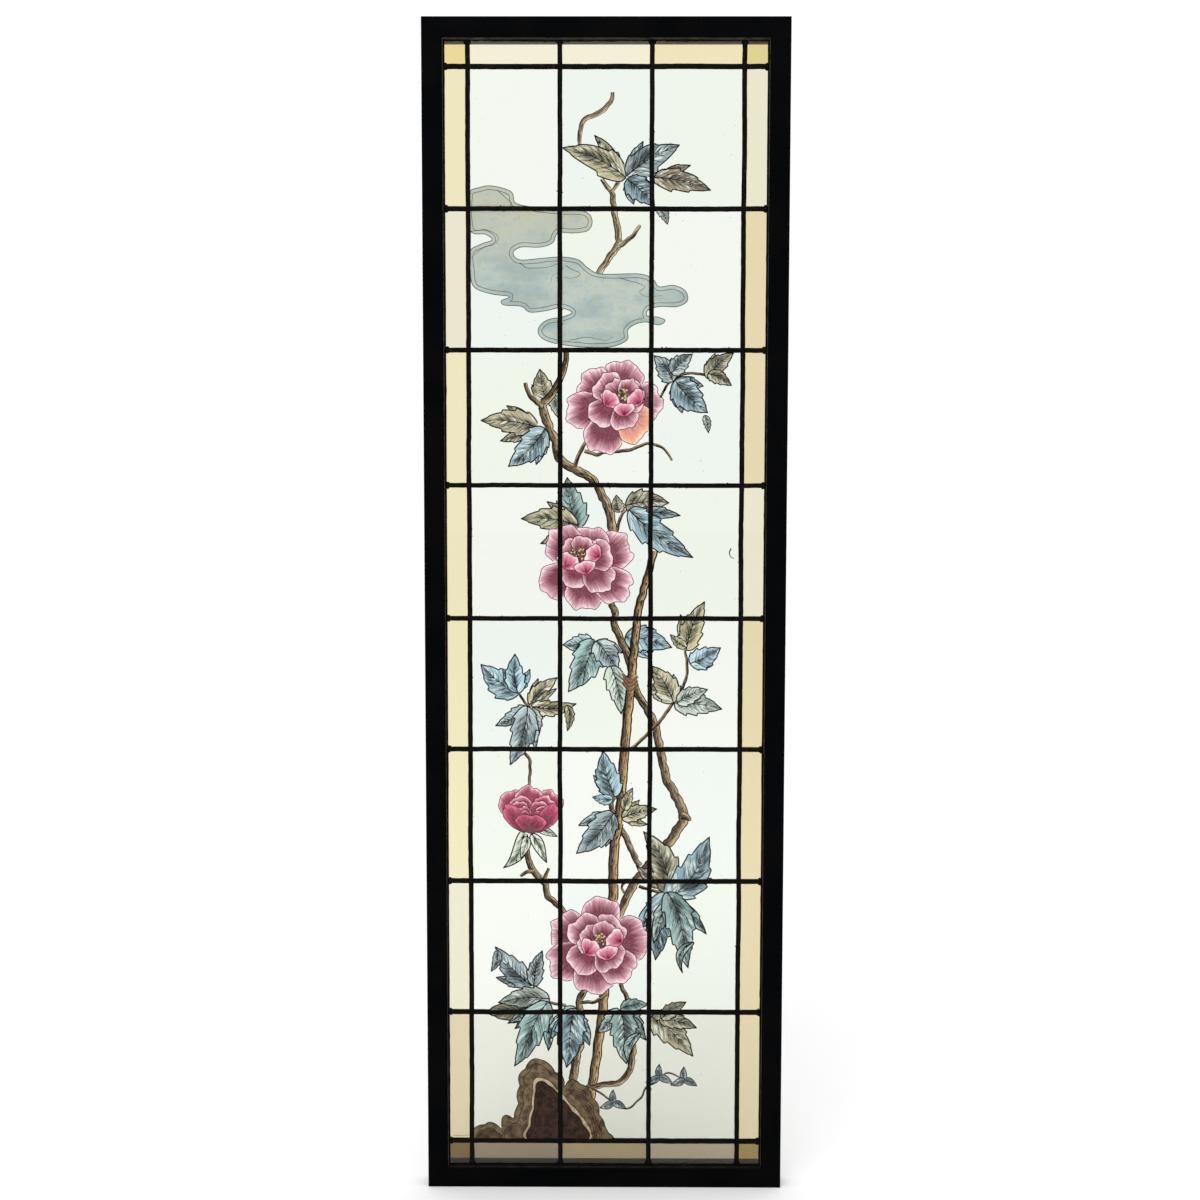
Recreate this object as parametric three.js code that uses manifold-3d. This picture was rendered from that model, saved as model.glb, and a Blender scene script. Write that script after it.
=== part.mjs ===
// A tall leaded window panel: rectangular glass panes in an H-section lead lattice, set in a mitred
// wooden frame and held from behind by stepped glazing beads.
// Units are millimetres. +Z is up and the front faces -Y. The origin is the centre of the underside of
// the frame's sill member, which is where the panel is fixed.

import * as THREE from 'three';
import { mergeVertices } from 'three/addons/utils/BufferGeometryUtils.js';
import Module from 'manifold-3d';

const wasm = await Module();
wasm.setup();

// ---- Driving dimensions ----

const FRAME_WIDTH = 526;
const FRAME_HEIGHT = 1710;
const FRAME_DEPTH = 36;
const FRAME_FACE = 30; // width of a member, seen from the front
const LIP_THICKNESS = 7; // front lip that the panel rests against
const REBATE = 9; // how far the rebate goes back into the member
const OUTER_CHAMFER = 1.2;
const LIP_CHAMFER = 1.5;
const MITRE_GAP = 0.2; // taken off each end of a mitred bar

const FIT_GAP = 0.3; // clearance between pieces that rest on each other

const CAME_LEAF = 6; // visible width of an inner came
const CAME_LEAF_THICKNESS = 1.2;
const CAME_HEART = 1.5;
const EDGE_CAME_LEAF = 9.5; // the came round the edge of the panel is wider
const GLASS_THICKNESS = 3;
const GLASS_SIDE_GAP = 0.4; // between a pane's edge and the came's heart
const SOLDER_FOOT_RADIUS = 4.4;
const SOLDER_TOP_RADIUS = 2.6;
const SOLDER_HEIGHT = 0.6; // how far a soldered joint stands proud of the came
const SOLDER_SIDES = 6;
const SIMPLIFY_TOLERANCE = 0.01;

const COLUMN_PITCH = 132; // between the upright cames
const MAIN_COLUMNS = 3;
const ROW_HEIGHTS = [200, 201, 195, 194, 193, 197, 198, 197]; // from the top, hand-set panes
const END_BORDER = 37.5; // from the frame's lip to the first and last level came

const BEAD_STEP = 2; // depth of the groove in a bead's face
const BEAD_STEP_FROM = 6; // where the groove starts, measured from the glass side
const BEAD_STEP_WIDTH = 3;
const BEAD_CHAMFER = 1.5;

// ---- Derived dimensions ----

const sum = (list) => list.reduce((total, value) => total + value, 0);

const frontY = -FRAME_DEPTH / 2;
const channel = GLASS_THICKNESS + 2 * FIT_GAP;
const cameThickness = channel + 2 * CAME_LEAF_THICKNESS;
const panelY = frontY + LIP_THICKNESS + FIT_GAP + cameThickness / 2; // middle plane of the glass
const edgeCameOuter = FRAME_FACE - REBATE + 1; // inset of the edge came's outer side
const edgeCameInner = edgeCameOuter + EDGE_CAME_LEAF;
const edgeCameMiddle = (edgeCameOuter + edgeCameInner) / 2;
const beadFront = LIP_THICKNESS + cameThickness + 2 * FIT_GAP;

const uprights = [];
for (let i = 0; i <= MAIN_COLUMNS; i += 1) {
  uprights.push((i - MAIN_COLUMNS / 2) * COLUMN_PITCH);
}

const levels = [FRAME_HEIGHT - FRAME_FACE - END_BORDER]; // heights of the level cames, from the top
for (const height of ROW_HEIGHTS) {
  levels.push(levels[levels.length - 1] - height);
}

const edgeX = FRAME_WIDTH / 2 - edgeCameMiddle; // centre line of the edge came, left and right
const edgeTop = FRAME_HEIGHT - edgeCameMiddle;
const edgeBottom = edgeCameMiddle;

if (Math.abs(sum(ROW_HEIGHTS) + 2 * (FRAME_FACE + END_BORDER) - FRAME_HEIGHT) > 1e-6) {
  throw new Error('the rows and borders do not fill the frame');
}

// ---- Materials ----

const paint = new THREE.MeshStandardMaterial({ color: 0x0b0b0c, roughness: 0.45, metalness: 0 });
const beadWood = new THREE.MeshStandardMaterial({ color: 0x3a342e, roughness: 0.7, metalness: 0 });
const lead = new THREE.MeshStandardMaterial({ color: 0x24211f, roughness: 0.6, metalness: 0.7 });

function glassMaterial(color) {
  return new THREE.MeshStandardMaterial({
    color, roughness: 0.05, metalness: 0, transparent: true, opacity: 0.35,
  });
}

const clearGlass = glassMaterial(0xf0f6ee);
const creamGlass = glassMaterial(0xf3e6bf);
const amberGlass = glassMaterial(0xe6cf86);

// ---- Helpers ----

const windowPanel = new THREE.Group();

function addMesh(name, geometry, material) {
  const mesh = new THREE.Mesh(geometry, material);
  mesh.name = name;
  windowPanel.add(mesh);
  return mesh;
}

function toSolid(geometry) {
  const bare = geometry.clone();
  bare.deleteAttribute('normal');
  bare.deleteAttribute('uv');
  const merged = mergeVertices(bare, 1e-5);
  return new wasm.Manifold(new wasm.Mesh({
    numProp: 3,
    vertProperties: new Float32Array(merged.attributes.position.array),
    triVerts: new Uint32Array(merged.index.array),
  }));
}

function toGeometry(solid) {
  const mesh = solid.getMesh();
  const geometry = new THREE.BufferGeometry();
  geometry.setAttribute('position', new THREE.BufferAttribute(new Float32Array(mesh.vertProperties), 3));
  geometry.setIndex(new THREE.BufferAttribute(new Uint32Array(mesh.triVerts), 1));
  geometry.computeVertexNormals();
  return geometry;
}

// A box between two opposite corners.
function boxBetween(low, high) {
  const size = high.map((value, axis) => value - low[axis]);
  const geometry = new THREE.BoxGeometry(...size);
  geometry.translate(...low.map((value, axis) => value + size[axis] / 2));
  return geometry;
}

// A straight bar along X with both ends mitred at 45 degrees. The section's points are [inset, depth]:
// inset is counted from the bar's outer edge towards +Z, depth from the front face towards +Y.
function mitredBar(section, length) {
  const contour = section.map(([inset, depth]) => new THREE.Vector2(inset, depth));
  const caps = THREE.ShapeUtils.triangulateShape(contour, []);
  const count = section.length;
  const positions = [];
  for (const side of [-1, 1]) {
    for (const [inset, depth] of section) {
      positions.push(side * (length / 2 - inset - MITRE_GAP), frontY + depth, inset);
    }
  }
  const index = [];
  for (let i = 0; i < count; i += 1) {
    const next = (i + 1) % count;
    index.push(i, count + next, next, i, count + i, count + next);
  }
  for (const [a, b, c] of caps) {
    index.push(a, b, c, count + a, count + c, count + b);
  }
  const geometry = new THREE.BufferGeometry();
  geometry.setAttribute('position', new THREE.Float32BufferAttribute(positions, 3));
  geometry.setIndex(index);
  geometry.computeVertexNormals();
  return geometry;
}

// Four mitred bars of one section round the frame's outline.
function addSurround(names, section, material) {
  const level = mitredBar(section, FRAME_WIDTH);
  const upright = mitredBar(section, FRAME_HEIGHT);
  const sill = addMesh(names.sill, level, material);
  sill.position.set(0, 0, 0);
  const head = addMesh(names.head, level, material);
  head.position.set(0, 0, FRAME_HEIGHT);
  head.rotation.y = Math.PI;
  const left = addMesh(names.left, upright, material);
  left.position.set(-FRAME_WIDTH / 2, 0, FRAME_HEIGHT / 2);
  left.rotation.y = Math.PI / 2;
  const right = addMesh(names.right, upright, material);
  right.position.set(FRAME_WIDTH / 2, 0, FRAME_HEIGHT / 2);
  right.rotation.y = -Math.PI / 2;
}

// ---- Frame and beads ----

const frameSection = [
  [0, OUTER_CHAMFER],
  [OUTER_CHAMFER, 0],
  [FRAME_FACE - LIP_CHAMFER, 0],
  [FRAME_FACE, LIP_CHAMFER],
  [FRAME_FACE, LIP_THICKNESS],
  [FRAME_FACE - REBATE, LIP_THICKNESS],
  [FRAME_FACE - REBATE, FRAME_DEPTH],
  [OUTER_CHAMFER, FRAME_DEPTH],
  [0, FRAME_DEPTH - OUTER_CHAMFER],
];

const grooveStart = beadFront + BEAD_STEP_FROM;
const beadSection = [
  [FRAME_FACE - REBATE + FIT_GAP, beadFront],
  [FRAME_FACE, beadFront],
  [FRAME_FACE, grooveStart],
  [FRAME_FACE - BEAD_STEP, grooveStart],
  [FRAME_FACE - BEAD_STEP, grooveStart + BEAD_STEP_WIDTH],
  [FRAME_FACE, grooveStart + BEAD_STEP_WIDTH + BEAD_STEP],
  [FRAME_FACE, FRAME_DEPTH - BEAD_CHAMFER],
  [FRAME_FACE - BEAD_CHAMFER, FRAME_DEPTH],
  [FRAME_FACE - REBATE + FIT_GAP, FRAME_DEPTH],
];

const frameNames = {
  sill: 'frame_sill', head: 'frame_head', left: 'frame_jamb_left', right: 'frame_jamb_right',
};
const beadNames = { sill: 'bead_sill', head: 'bead_head', left: 'bead_left', right: 'bead_right' };

addSurround(frameNames, frameSection, paint);
addSurround(beadNames, beadSection, beadWood);

// ---- Lead lattice ----

// One H-section came between two points of the panel's plane, given as [x, z]. It runs along X or Z.
function came(start, end, leafWidth) {
  const level = start[1] === end[1];
  const grow = (width) => (level ? [0, width / 2] : [width / 2, 0]);
  const slab = (width, nearY, farY) => {
    const [growX, growZ] = grow(width);
    return toSolid(boxBetween(
      [Math.min(start[0], end[0]) - growX, panelY + nearY, Math.min(start[1], end[1]) - growZ],
      [Math.max(start[0], end[0]) + growX, panelY + farY, Math.max(start[1], end[1]) + growZ],
    ));
  };
  const outer = cameThickness / 2;
  const inner = channel / 2;
  const heartReach = (outer + inner) / 2;
  return slab(leafWidth, -outer, -inner)
    .add(slab(leafWidth, inner, outer))
    .add(slab(CAME_HEART, -heartReach, heartReach));
}

// A low joint of solder on both faces of a crossing.
function solderJoint(x, z) {
  const height = CAME_LEAF_THICKNESS + SOLDER_HEIGHT;
  const middle = channel / 2 + height / 2;
  const parts = [-1, 1].map((side) => {
    const cone = new THREE.CylinderGeometry(
      SOLDER_TOP_RADIUS, SOLDER_FOOT_RADIUS, height, SOLDER_SIDES,
    );
    if (side < 0) {
      cone.rotateX(Math.PI);
    }
    cone.translate(x, panelY + side * middle, z);
    return toSolid(cone);
  });
  return parts[0].add(parts[1]);
}

function buildLattice() {
  const pieces = [];
  const halfLeaf = EDGE_CAME_LEAF / 2;
  for (const z of [edgeTop, edgeBottom]) {
    pieces.push(came([-edgeX - halfLeaf, z], [edgeX + halfLeaf, z], EDGE_CAME_LEAF));
  }
  for (const x of [-edgeX, edgeX]) {
    pieces.push(came([x, edgeBottom - halfLeaf], [x, edgeTop + halfLeaf], EDGE_CAME_LEAF));
  }
  for (const x of uprights) {
    pieces.push(came([x, edgeBottom], [x, edgeTop], CAME_LEAF));
  }
  for (const z of levels) {
    pieces.push(came([-edgeX, z], [edgeX, z], CAME_LEAF));
  }
  // Solder sits on every crossing, and at the edge just inside the frame's lip.
  const jointInset = FRAME_FACE + SOLDER_TOP_RADIUS + 1;
  const jointX = [-FRAME_WIDTH / 2 + jointInset, ...uprights, FRAME_WIDTH / 2 - jointInset];
  const jointZ = [FRAME_HEIGHT - jointInset, ...levels, jointInset];
  jointX.forEach((x, column) => {
    jointZ.forEach((z, row) => {
      const onSide = column === 0 || column === jointX.length - 1;
      const onEnd = row === 0 || row === jointZ.length - 1;
      if (!(onSide && onEnd)) {
        pieces.push(solderJoint(x, z));
      }
    });
  });
  const lattice = pieces.reduce((whole, piece) => whole.add(piece));
  return lattice.asOriginal().simplify(SIMPLIFY_TOLERANCE); // merges the flat faces that the joins cut up
}

addMesh('lead_lattice', toGeometry(buildLattice()), lead);

// ---- Glass ----

// A pane fills one cell of the lattice, between the hearts of the cames on its four sides.
const cellX = [-edgeX, ...uprights, edgeX];
const cellZ = [edgeTop, ...levels, edgeBottom];

function paneKind(row, column) {
  const lastRow = cellZ.length - 2;
  const lastColumn = cellX.length - 2;
  const end = { 0: 'top', [lastRow]: 'bottom' }[row];
  const side = { 0: 'left', [lastColumn]: 'right' }[column];
  if (end && side) {
    return [`corner_glass_${end}_${side}`, amberGlass];
  }
  if (end) {
    return [`border_glass_${end}_${column}`, creamGlass];
  }
  if (side) {
    return [`border_glass_${side}_${row}`, creamGlass];
  }
  return [`main_glass_r${row}_c${column}`, clearGlass];
}

const paneInset = CAME_HEART / 2 + GLASS_SIDE_GAP;
for (let row = 0; row < cellZ.length - 1; row += 1) {
  for (let column = 0; column < cellX.length - 1; column += 1) {
    const [name, material] = paneKind(row, column);
    const low = [cellX[column] + paneInset, panelY - GLASS_THICKNESS / 2, cellZ[row + 1] + paneInset];
    const high = [cellX[column + 1] - paneInset, panelY + GLASS_THICKNESS / 2, cellZ[row] - paneInset];
    addMesh(name, boxBetween(low, high), material);
  }
}

export default windowPanel;
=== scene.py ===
"""Looks for a tall leaded window panel: clear and tinted panes in soldered lead cames, a flowering branch
painted across the clear panes, and a slim black frame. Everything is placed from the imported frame."""

import math
import random

import bpy
import numpy as np
from mathutils import Euler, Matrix, Quaternion, Vector, noise
from mathutils.geometry import delaunay_2d_cdt


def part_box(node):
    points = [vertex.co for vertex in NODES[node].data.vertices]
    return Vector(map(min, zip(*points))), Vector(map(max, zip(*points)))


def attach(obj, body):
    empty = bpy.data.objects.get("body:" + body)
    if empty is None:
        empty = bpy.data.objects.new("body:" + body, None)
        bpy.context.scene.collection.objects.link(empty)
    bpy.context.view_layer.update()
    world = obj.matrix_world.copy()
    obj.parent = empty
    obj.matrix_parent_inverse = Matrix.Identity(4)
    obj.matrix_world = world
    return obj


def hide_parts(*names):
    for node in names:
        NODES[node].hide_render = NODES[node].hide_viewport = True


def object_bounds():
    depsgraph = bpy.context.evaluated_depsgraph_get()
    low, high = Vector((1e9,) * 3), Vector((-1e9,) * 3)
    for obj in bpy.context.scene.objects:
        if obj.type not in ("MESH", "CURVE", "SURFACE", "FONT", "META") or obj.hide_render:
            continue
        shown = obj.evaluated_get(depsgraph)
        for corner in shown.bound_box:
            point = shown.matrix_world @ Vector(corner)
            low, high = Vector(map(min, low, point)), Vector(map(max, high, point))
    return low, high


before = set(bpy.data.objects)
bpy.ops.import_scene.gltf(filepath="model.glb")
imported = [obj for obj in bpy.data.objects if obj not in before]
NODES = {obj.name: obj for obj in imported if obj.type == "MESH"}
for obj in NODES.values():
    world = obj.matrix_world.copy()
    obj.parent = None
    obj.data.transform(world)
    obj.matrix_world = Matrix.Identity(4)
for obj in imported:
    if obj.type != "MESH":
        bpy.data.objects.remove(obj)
CAD_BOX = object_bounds()
MM = 0.001

# ---- Sizes (metres unless the name says otherwise) ----

MAIN_ROWS = 8
MAIN_COLUMNS = 3
CAME_LEAF = 6 * MM
EDGE_LEAF = 9.5 * MM
CHANNEL = 3.6 * MM  # inside the came, between its two leaves
CAME_THICKNESS = 6 * MM
CAME_HEART = 1.5 * MM
LEAF_SWELL = 1.15  # soft lead spreads a little at its edges
CAME_STEP = 9 * MM  # between the sections along a came
CAME_STRAIGHT = 20 * MM  # a came's slow wander fades out over this length at each end
SOLDER_RADIUS = 4.9 * MM
SOLDER_RISE = 0.85 * MM  # above the came's face
RIM_JOINT = 2.5 * MM  # how far inside the edge came its solder joints stand
FILM_GAP = 0.08 * MM  # paint film in front of the glass face
INK_GAP = 0.16 * MM  # trace lines in front of the glass face

# Camera, at the viewing angle of the object's own photograph.
CAMERA_DISTANCE = 2.2
CAMERA_HEIGHT = 1.033
CAMERA_SIDE = 0.002
CAMERA_PITCH = 3.97  # degrees downwards
CAMERA_YAW = 0.25  # degrees to the left
CAMERA_ROLL = 0.08
CAMERA_LENS_MM = 45.47

# ---- Panel grid, read from the frame ----


def pane_name(row, column):
    """Name of the pane in a row from 0 (top border) to 9 and a column from 0 (left border) to 4."""
    end = {0: "top", MAIN_ROWS + 1: "bottom"}.get(row)
    side = {0: "left", MAIN_COLUMNS + 1: "right"}.get(column)
    if end and side:
        return f"corner_glass_{end}_{side}"
    if end:
        return f"border_glass_{end}_{column}"
    if side:
        return f"border_glass_{side}_{row}"
    return f"main_glass_r{row}_c{column}"


def between(name_a, name_b, axis):
    """Middle of the gap between two neighbouring panes, where the came's heart stands."""
    low_a, high_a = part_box(name_a)
    low_b, high_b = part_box(name_b)
    if low_a[axis] < low_b[axis]:
        return (high_a[axis] + low_b[axis]) / 2
    return (low_a[axis] + high_b[axis]) / 2


COLUMN_LINES = [between(pane_name(1, c), pane_name(1, c + 1), 0) for c in range(MAIN_COLUMNS + 1)]
ROW_LINES = [between(pane_name(r, 1), pane_name(r + 1, 1), 2) for r in range(MAIN_ROWS + 1)]
GLASS_LOW, GLASS_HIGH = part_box(pane_name(1, 1))
GLASS_FRONT = GLASS_LOW[1]
PANEL_Y = (GLASS_LOW[1] + GLASS_HIGH[1]) / 2
LATTICE_LOW, LATTICE_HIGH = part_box("lead_lattice")
EDGE_X = LATTICE_HIGH[0] - EDGE_LEAF / 2
EDGE_TOP = LATTICE_HIGH[2] - EDGE_LEAF / 2
EDGE_BOTTOM = LATTICE_LOW[2] + EDGE_LEAF / 2


# ---- Small helpers ----


def linear(red, green, blue):
    """A colour given as 0-255 display values, as the linear values that shaders use."""
    values = []
    for channel in (red, green, blue):
        c = channel / 255
        values.append(c / 12.92 if c <= 0.04045 else ((c + 0.055) / 1.055) ** 2.4)
    return tuple(values)


def new_mesh(name, verts, faces, smooth=False):
    """A new object from points and faces."""
    mesh = bpy.data.meshes.new(name)
    mesh.from_pydata([tuple(v) for v in verts], [], [tuple(f) for f in faces])
    mesh.update()
    if smooth:
        mesh.polygons.foreach_set("use_smooth", [True] * len(mesh.polygons))
    obj = bpy.data.objects.new(name, mesh)
    bpy.context.scene.collection.objects.link(obj)
    return obj


class Parts:
    """Points and faces of several parts, gathered for one mesh."""

    def __init__(self):
        self.verts = []
        self.faces = []

    def take(self, verts, faces):
        offset = len(self.verts)
        self.verts.extend(verts)
        self.faces.extend(tuple(i + offset for i in face) for face in faces)


def ripple(*place):
    """Smooth noise at a place given by three numbers."""
    return noise.noise(Vector(place))


def toward(angle):
    """Unit vector at an angle in radians."""
    return np.array((math.cos(angle), math.sin(angle)))


def left_of(way):
    return np.array((-way[1], way[0]))


class Nodes:
    """A material with short calls for adding and joining its nodes."""

    def __init__(self, name, **plain):
        self.material = bpy.data.materials.new(name)
        self.material.use_nodes = True
        self.tree = self.material.node_tree
        self.shader = self.tree.nodes["Principled BSDF"]
        for socket, value in plain.items():
            self.shader.inputs[socket.replace("_", " ")].default_value = value

    def add(self, kind, settings=None, **inputs):
        node = self.tree.nodes.new("ShaderNode" + kind)
        for key, value in (settings or {}).items():
            setattr(node, key, value)
        for key, value in inputs.items():
            self.set(node.inputs[key.replace("_", " ")], value)
        return node

    def set(self, socket, value):
        if isinstance(value, bpy.types.NodeSocket):
            self.tree.links.new(value, socket)
        elif isinstance(value, tuple) and len(value) == 3 and socket.type == "RGBA":
            socket.default_value = (*value, 1)
        else:
            socket.default_value = value

    def math(self, operation, a, b=0.0, clamp=False):
        node = self.add("Math", {"operation": operation, "use_clamp": clamp})
        self.set(node.inputs[0], a)
        self.set(node.inputs[1], b)
        return node.outputs[0]

    def times(self, a, b):
        return self.math("MULTIPLY", a, b)

    def plus(self, a, b, clamp=False):
        return self.math("ADD", a, b, clamp)

    def swing(self, value, size):
        """A noise value made to swing about zero."""
        return self.times(self.math("SUBTRACT", value, 0.5), size)

    def mix(self, factor, a, b):
        node = self.add("Mix", {"data_type": "RGBA"})
        self.set(node.inputs[0], factor)
        self.set(node.inputs[6], a)
        self.set(node.inputs[7], b)
        return node.outputs[2]

    def band(self, value, low, high, out_low=0.0, out_high=1.0):
        """Smooth step of a value from low to high."""
        node = self.add("MapRange", {"interpolation_type": "SMOOTHSTEP"}, Value=value)
        for key, number in zip(("From Min", "From Max", "To Min", "To Max"), (low, high, out_low, out_high)):
            node.inputs[key].default_value = number
        return node.outputs[0]

    def noise(self, vector, scale, detail=3.0, rough=0.55):
        node = self.add("TexNoise", Vector=vector, Scale=scale, Detail=detail, Roughness=rough)
        return node.outputs["Fac"]

    def joined(self, x, y, z=0.0):
        node = self.add("CombineXYZ")
        for socket, value in zip(node.inputs, (x, y, z)):
            self.set(socket, value)
        return node.outputs[0]

    def split(self, vector):
        return tuple(self.add("SeparateXYZ", Vector=vector).outputs)

    def streaks(self, x, y, detail, rough=0.55):
        """Noise over two coordinates that are already stretched to its scale."""
        return self.noise(self.joined(x, y), 1.0, detail, rough)

    def place(self):
        """Object coordinates, in metres."""
        return self.add("TexCoord").outputs["Object"]

    def bump(self, height, strength, distance):
        node = self.add("Bump", Strength=strength, Distance=distance, Height=height)
        self.set(self.shader.inputs["Normal"], node.outputs[0])

    def base(self, colour):
        self.set(self.shader.inputs["Base Color"], colour)

    def roughness(self, value):
        self.set(self.shader.inputs["Roughness"], value)


def dress(node_name, material):
    """Gives a CAD node's object a material."""
    for slot in NODES[node_name].material_slots:
        slot.material = material


# ---- Materials of the frame, beads and lead ----


def foot_painted_shade(m, height, tone):
    """Darkens a tone on the ledges at the foot of the opening, as painted shade."""
    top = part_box("bead_sill")[1][2]
    # Painted shade: darker below the top of the sill bead.
    return m.mix(m.band(height, top + 4 * MM, top + 1 * MM, 0.0, 0.8), tone, linear(14, 12, 9))


def frame_paint():
    """Satin black paint over wood; the faces that look into the opening get a brown-grey tone as painted
    light, with painted shade at the foot.
    """
    m = Nodes("black_frame_paint", Specular_IOR_Level=0.02)
    place = m.place()
    x, y, z = m.split(place)
    brush = m.noise(m.joined(x, y, m.times(z, 0.12)), 420, 4)
    cloud = m.noise(place, 14, 3)
    mottle = m.noise(place, 75, 4, 0.65)
    black = m.mix(m.band(cloud, 0.35, 0.7), linear(1, 2, 3), linear(5, 5, 6))
    # Brown-grey painted light for the faces that look into the opening.
    reveal_painted_light = m.mix(m.band(mottle, 0.35, 0.65), linear(44, 38, 33), linear(78, 70, 62))
    left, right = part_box("frame_jamb_left")[1][0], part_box("frame_jamb_right")[0][0]
    foot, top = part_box("frame_sill")[1][2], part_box("frame_head")[0][2]
    sideways = m.math("SUBTRACT", m.math("ABSOLUTE", x), (right - left) / 2)
    upright = m.math("ABSOLUTE", m.math("SUBTRACT", z, (foot + top) / 2))
    upright = m.math("SUBTRACT", upright, (top - foot) / 2)
    reveal = m.band(m.math("MAXIMUM", sideways, upright), 0.5 * MM, 0.2 * MM)
    # Painted light on the faces in the opening, darkened at the foot as painted shade.
    m.base(m.mix(reveal, black, foot_painted_shade(m, z, reveal_painted_light)))
    m.roughness(m.band(cloud, 0.3, 0.75, 0.38, 0.55))
    m.bump(m.plus(brush, m.times(cloud, 0.6)), 0.25, 0.0004)
    return m.material


def bead_paint():
    """Old brown-grey paint on the glazing beads, darker towards the back, with a lighter tone on the front
    step as painted light and painted shade at the foot.
    """
    m = Nodes("brown_bead_paint", Specular_IOR_Level=0.12, Roughness=0.75)
    place = m.place()
    depth, height = m.split(place)[1:]
    low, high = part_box("bead_head")
    step_end = low[1] + (high[1] - low[1]) * 0.28
    step = m.band(depth, step_end + 1 * MM, step_end - 1 * MM)
    mottle = m.noise(place, 60, 5, 0.65)
    plain = m.mix(m.band(mottle, 0.35, 0.7), linear(34, 30, 25), linear(58, 50, 42))
    # Lighter tone on the front step: painted light.
    painted_light = m.mix(m.band(mottle, 0.3, 0.7), linear(92, 84, 78), linear(128, 118, 108))
    # Painted light on the front step, painted shade at the foot.
    m.base(foot_painted_shade(m, height, m.mix(step, plain, painted_light)))
    m.bump(mottle, 0.4, 0.0006)
    return m.material


def lead_patina():
    """Lead with a near-black patina, brown cement in its pits, and a lighter tone along the top of the
    lattice as painted light.
    """
    m = Nodes("lead_patina", Specular_IOR_Level=0.05)
    place = m.place()
    broad = m.noise(place, 26, 4)
    fine = m.noise(place, 330, 4, 0.7)
    dark = m.mix(m.band(broad, 0.35, 0.65), linear(3, 3, 3), linear(10, 9, 8))
    brown = m.mix(m.band(fine, 0.58, 0.75), dark, linear(72, 52, 38))
    height = m.split(place)[2]
    # Lighter tone along the top of the lattice: painted light.
    top = m.band(height, LATTICE_HIGH[2] - EDGE_LEAF, LATTICE_HIGH[2] - EDGE_LEAF * 0.8)
    painted_light = m.mix(m.band(broad, 0.4, 0.6), linear(58, 50, 43), linear(84, 75, 66))
    m.base(m.mix(top, brown, painted_light))
    m.roughness(m.band(fine, 0.3, 0.7, 0.42, 0.68))
    m.bump(m.plus(fine, broad), 0.5, 0.0005)
    return m.material


# ---- Glass ----

GLASS_TONES = {
    "cool": (236, 243, 236), "green": (238, 243, 231), "plain": (241, 245, 237), "warm": (230, 232, 220),
    "straw": (235, 228, 187), "cream": (241, 237, 211), "ivory": (232, 227, 202), "peach": (227, 213, 172),
    "sand": (220, 207, 172), "amber": (232, 214, 146), "honey": (237, 225, 181), "deep": (223, 206, 138),
    "umber": (122, 100, 51), "smoke": (151, 138, 112), "tan": (170, 153, 115), "mist": (177, 164, 137),
    "olive": (155, 134, 76)}
CLEAR_PATTERN = ["cool", "green", "plain"]
LEFT_BORDER = ["straw", "ivory", "straw", "straw", "straw", "straw", "ivory", "sand"]  # from the top
RIGHT_BORDER = ["ivory", "peach", "peach", "ivory", "peach", "peach", "peach", "peach"]
TOP_BORDER = ["amber", "cream", "cream", "honey", "deep"]
# The foot border's darker tints are partly the glass's own colour and partly painted shade.
FOOT_BORDER = ["umber", "smoke", "tan", "mist", "olive"]


def glass_material(name, tone):
    """Clear or tinted glass, all by plain values."""
    m = Nodes(name, Roughness=0.0, IOR=1.5, Transmission_Weight=1.0)
    m.base(linear(*tone))
    return m.material


def glass_tone(row, column):
    """Tone of the pane in a row from 0 to 9 and a column from 0 to 4."""
    if row == 0:
        return TOP_BORDER[column]
    if row == MAIN_ROWS + 1:
        return FOOT_BORDER[column]
    if column == 0:
        return LEFT_BORDER[row - 1]
    if column == MAIN_COLUMNS + 1:
        return RIGHT_BORDER[row - 1]
    # The bottom clear row gets a darker, warmer tint as painted shade.
    if row == MAIN_ROWS:
        return "warm"
    return CLEAR_PATTERN[(row + column) % len(CLEAR_PATTERN)]


def dress_glass():
    made = {tone: glass_material("glass_" + tone, colour) for tone, colour in GLASS_TONES.items()}
    for row in range(MAIN_ROWS + 2):
        for column in range(MAIN_COLUMNS + 2):
            dress(pane_name(row, column), made[glass_tone(row, column)])


# ---- Lead cames ----


def came_section(leaf):
    """Closed H-shaped section as (across, depth) points, with soft edges and a slightly crowned leaf."""
    half, inner, outer = leaf / 2, CHANNEL / 2, CAME_THICKNESS / 2
    quarter = [(CAME_HEART / 2, inner), (half - 0.3 * MM, inner), (half, inner + 0.4 * MM),
               (half - 0.5 * MM, outer - 0.15 * MM), (half * 0.5, outer), (0, outer + 0.1 * MM)]
    back = quarter + [(-a, d) for a, d in reversed(quarter[:-1])]
    return back + [(-a, -d) for a, d in back]


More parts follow.
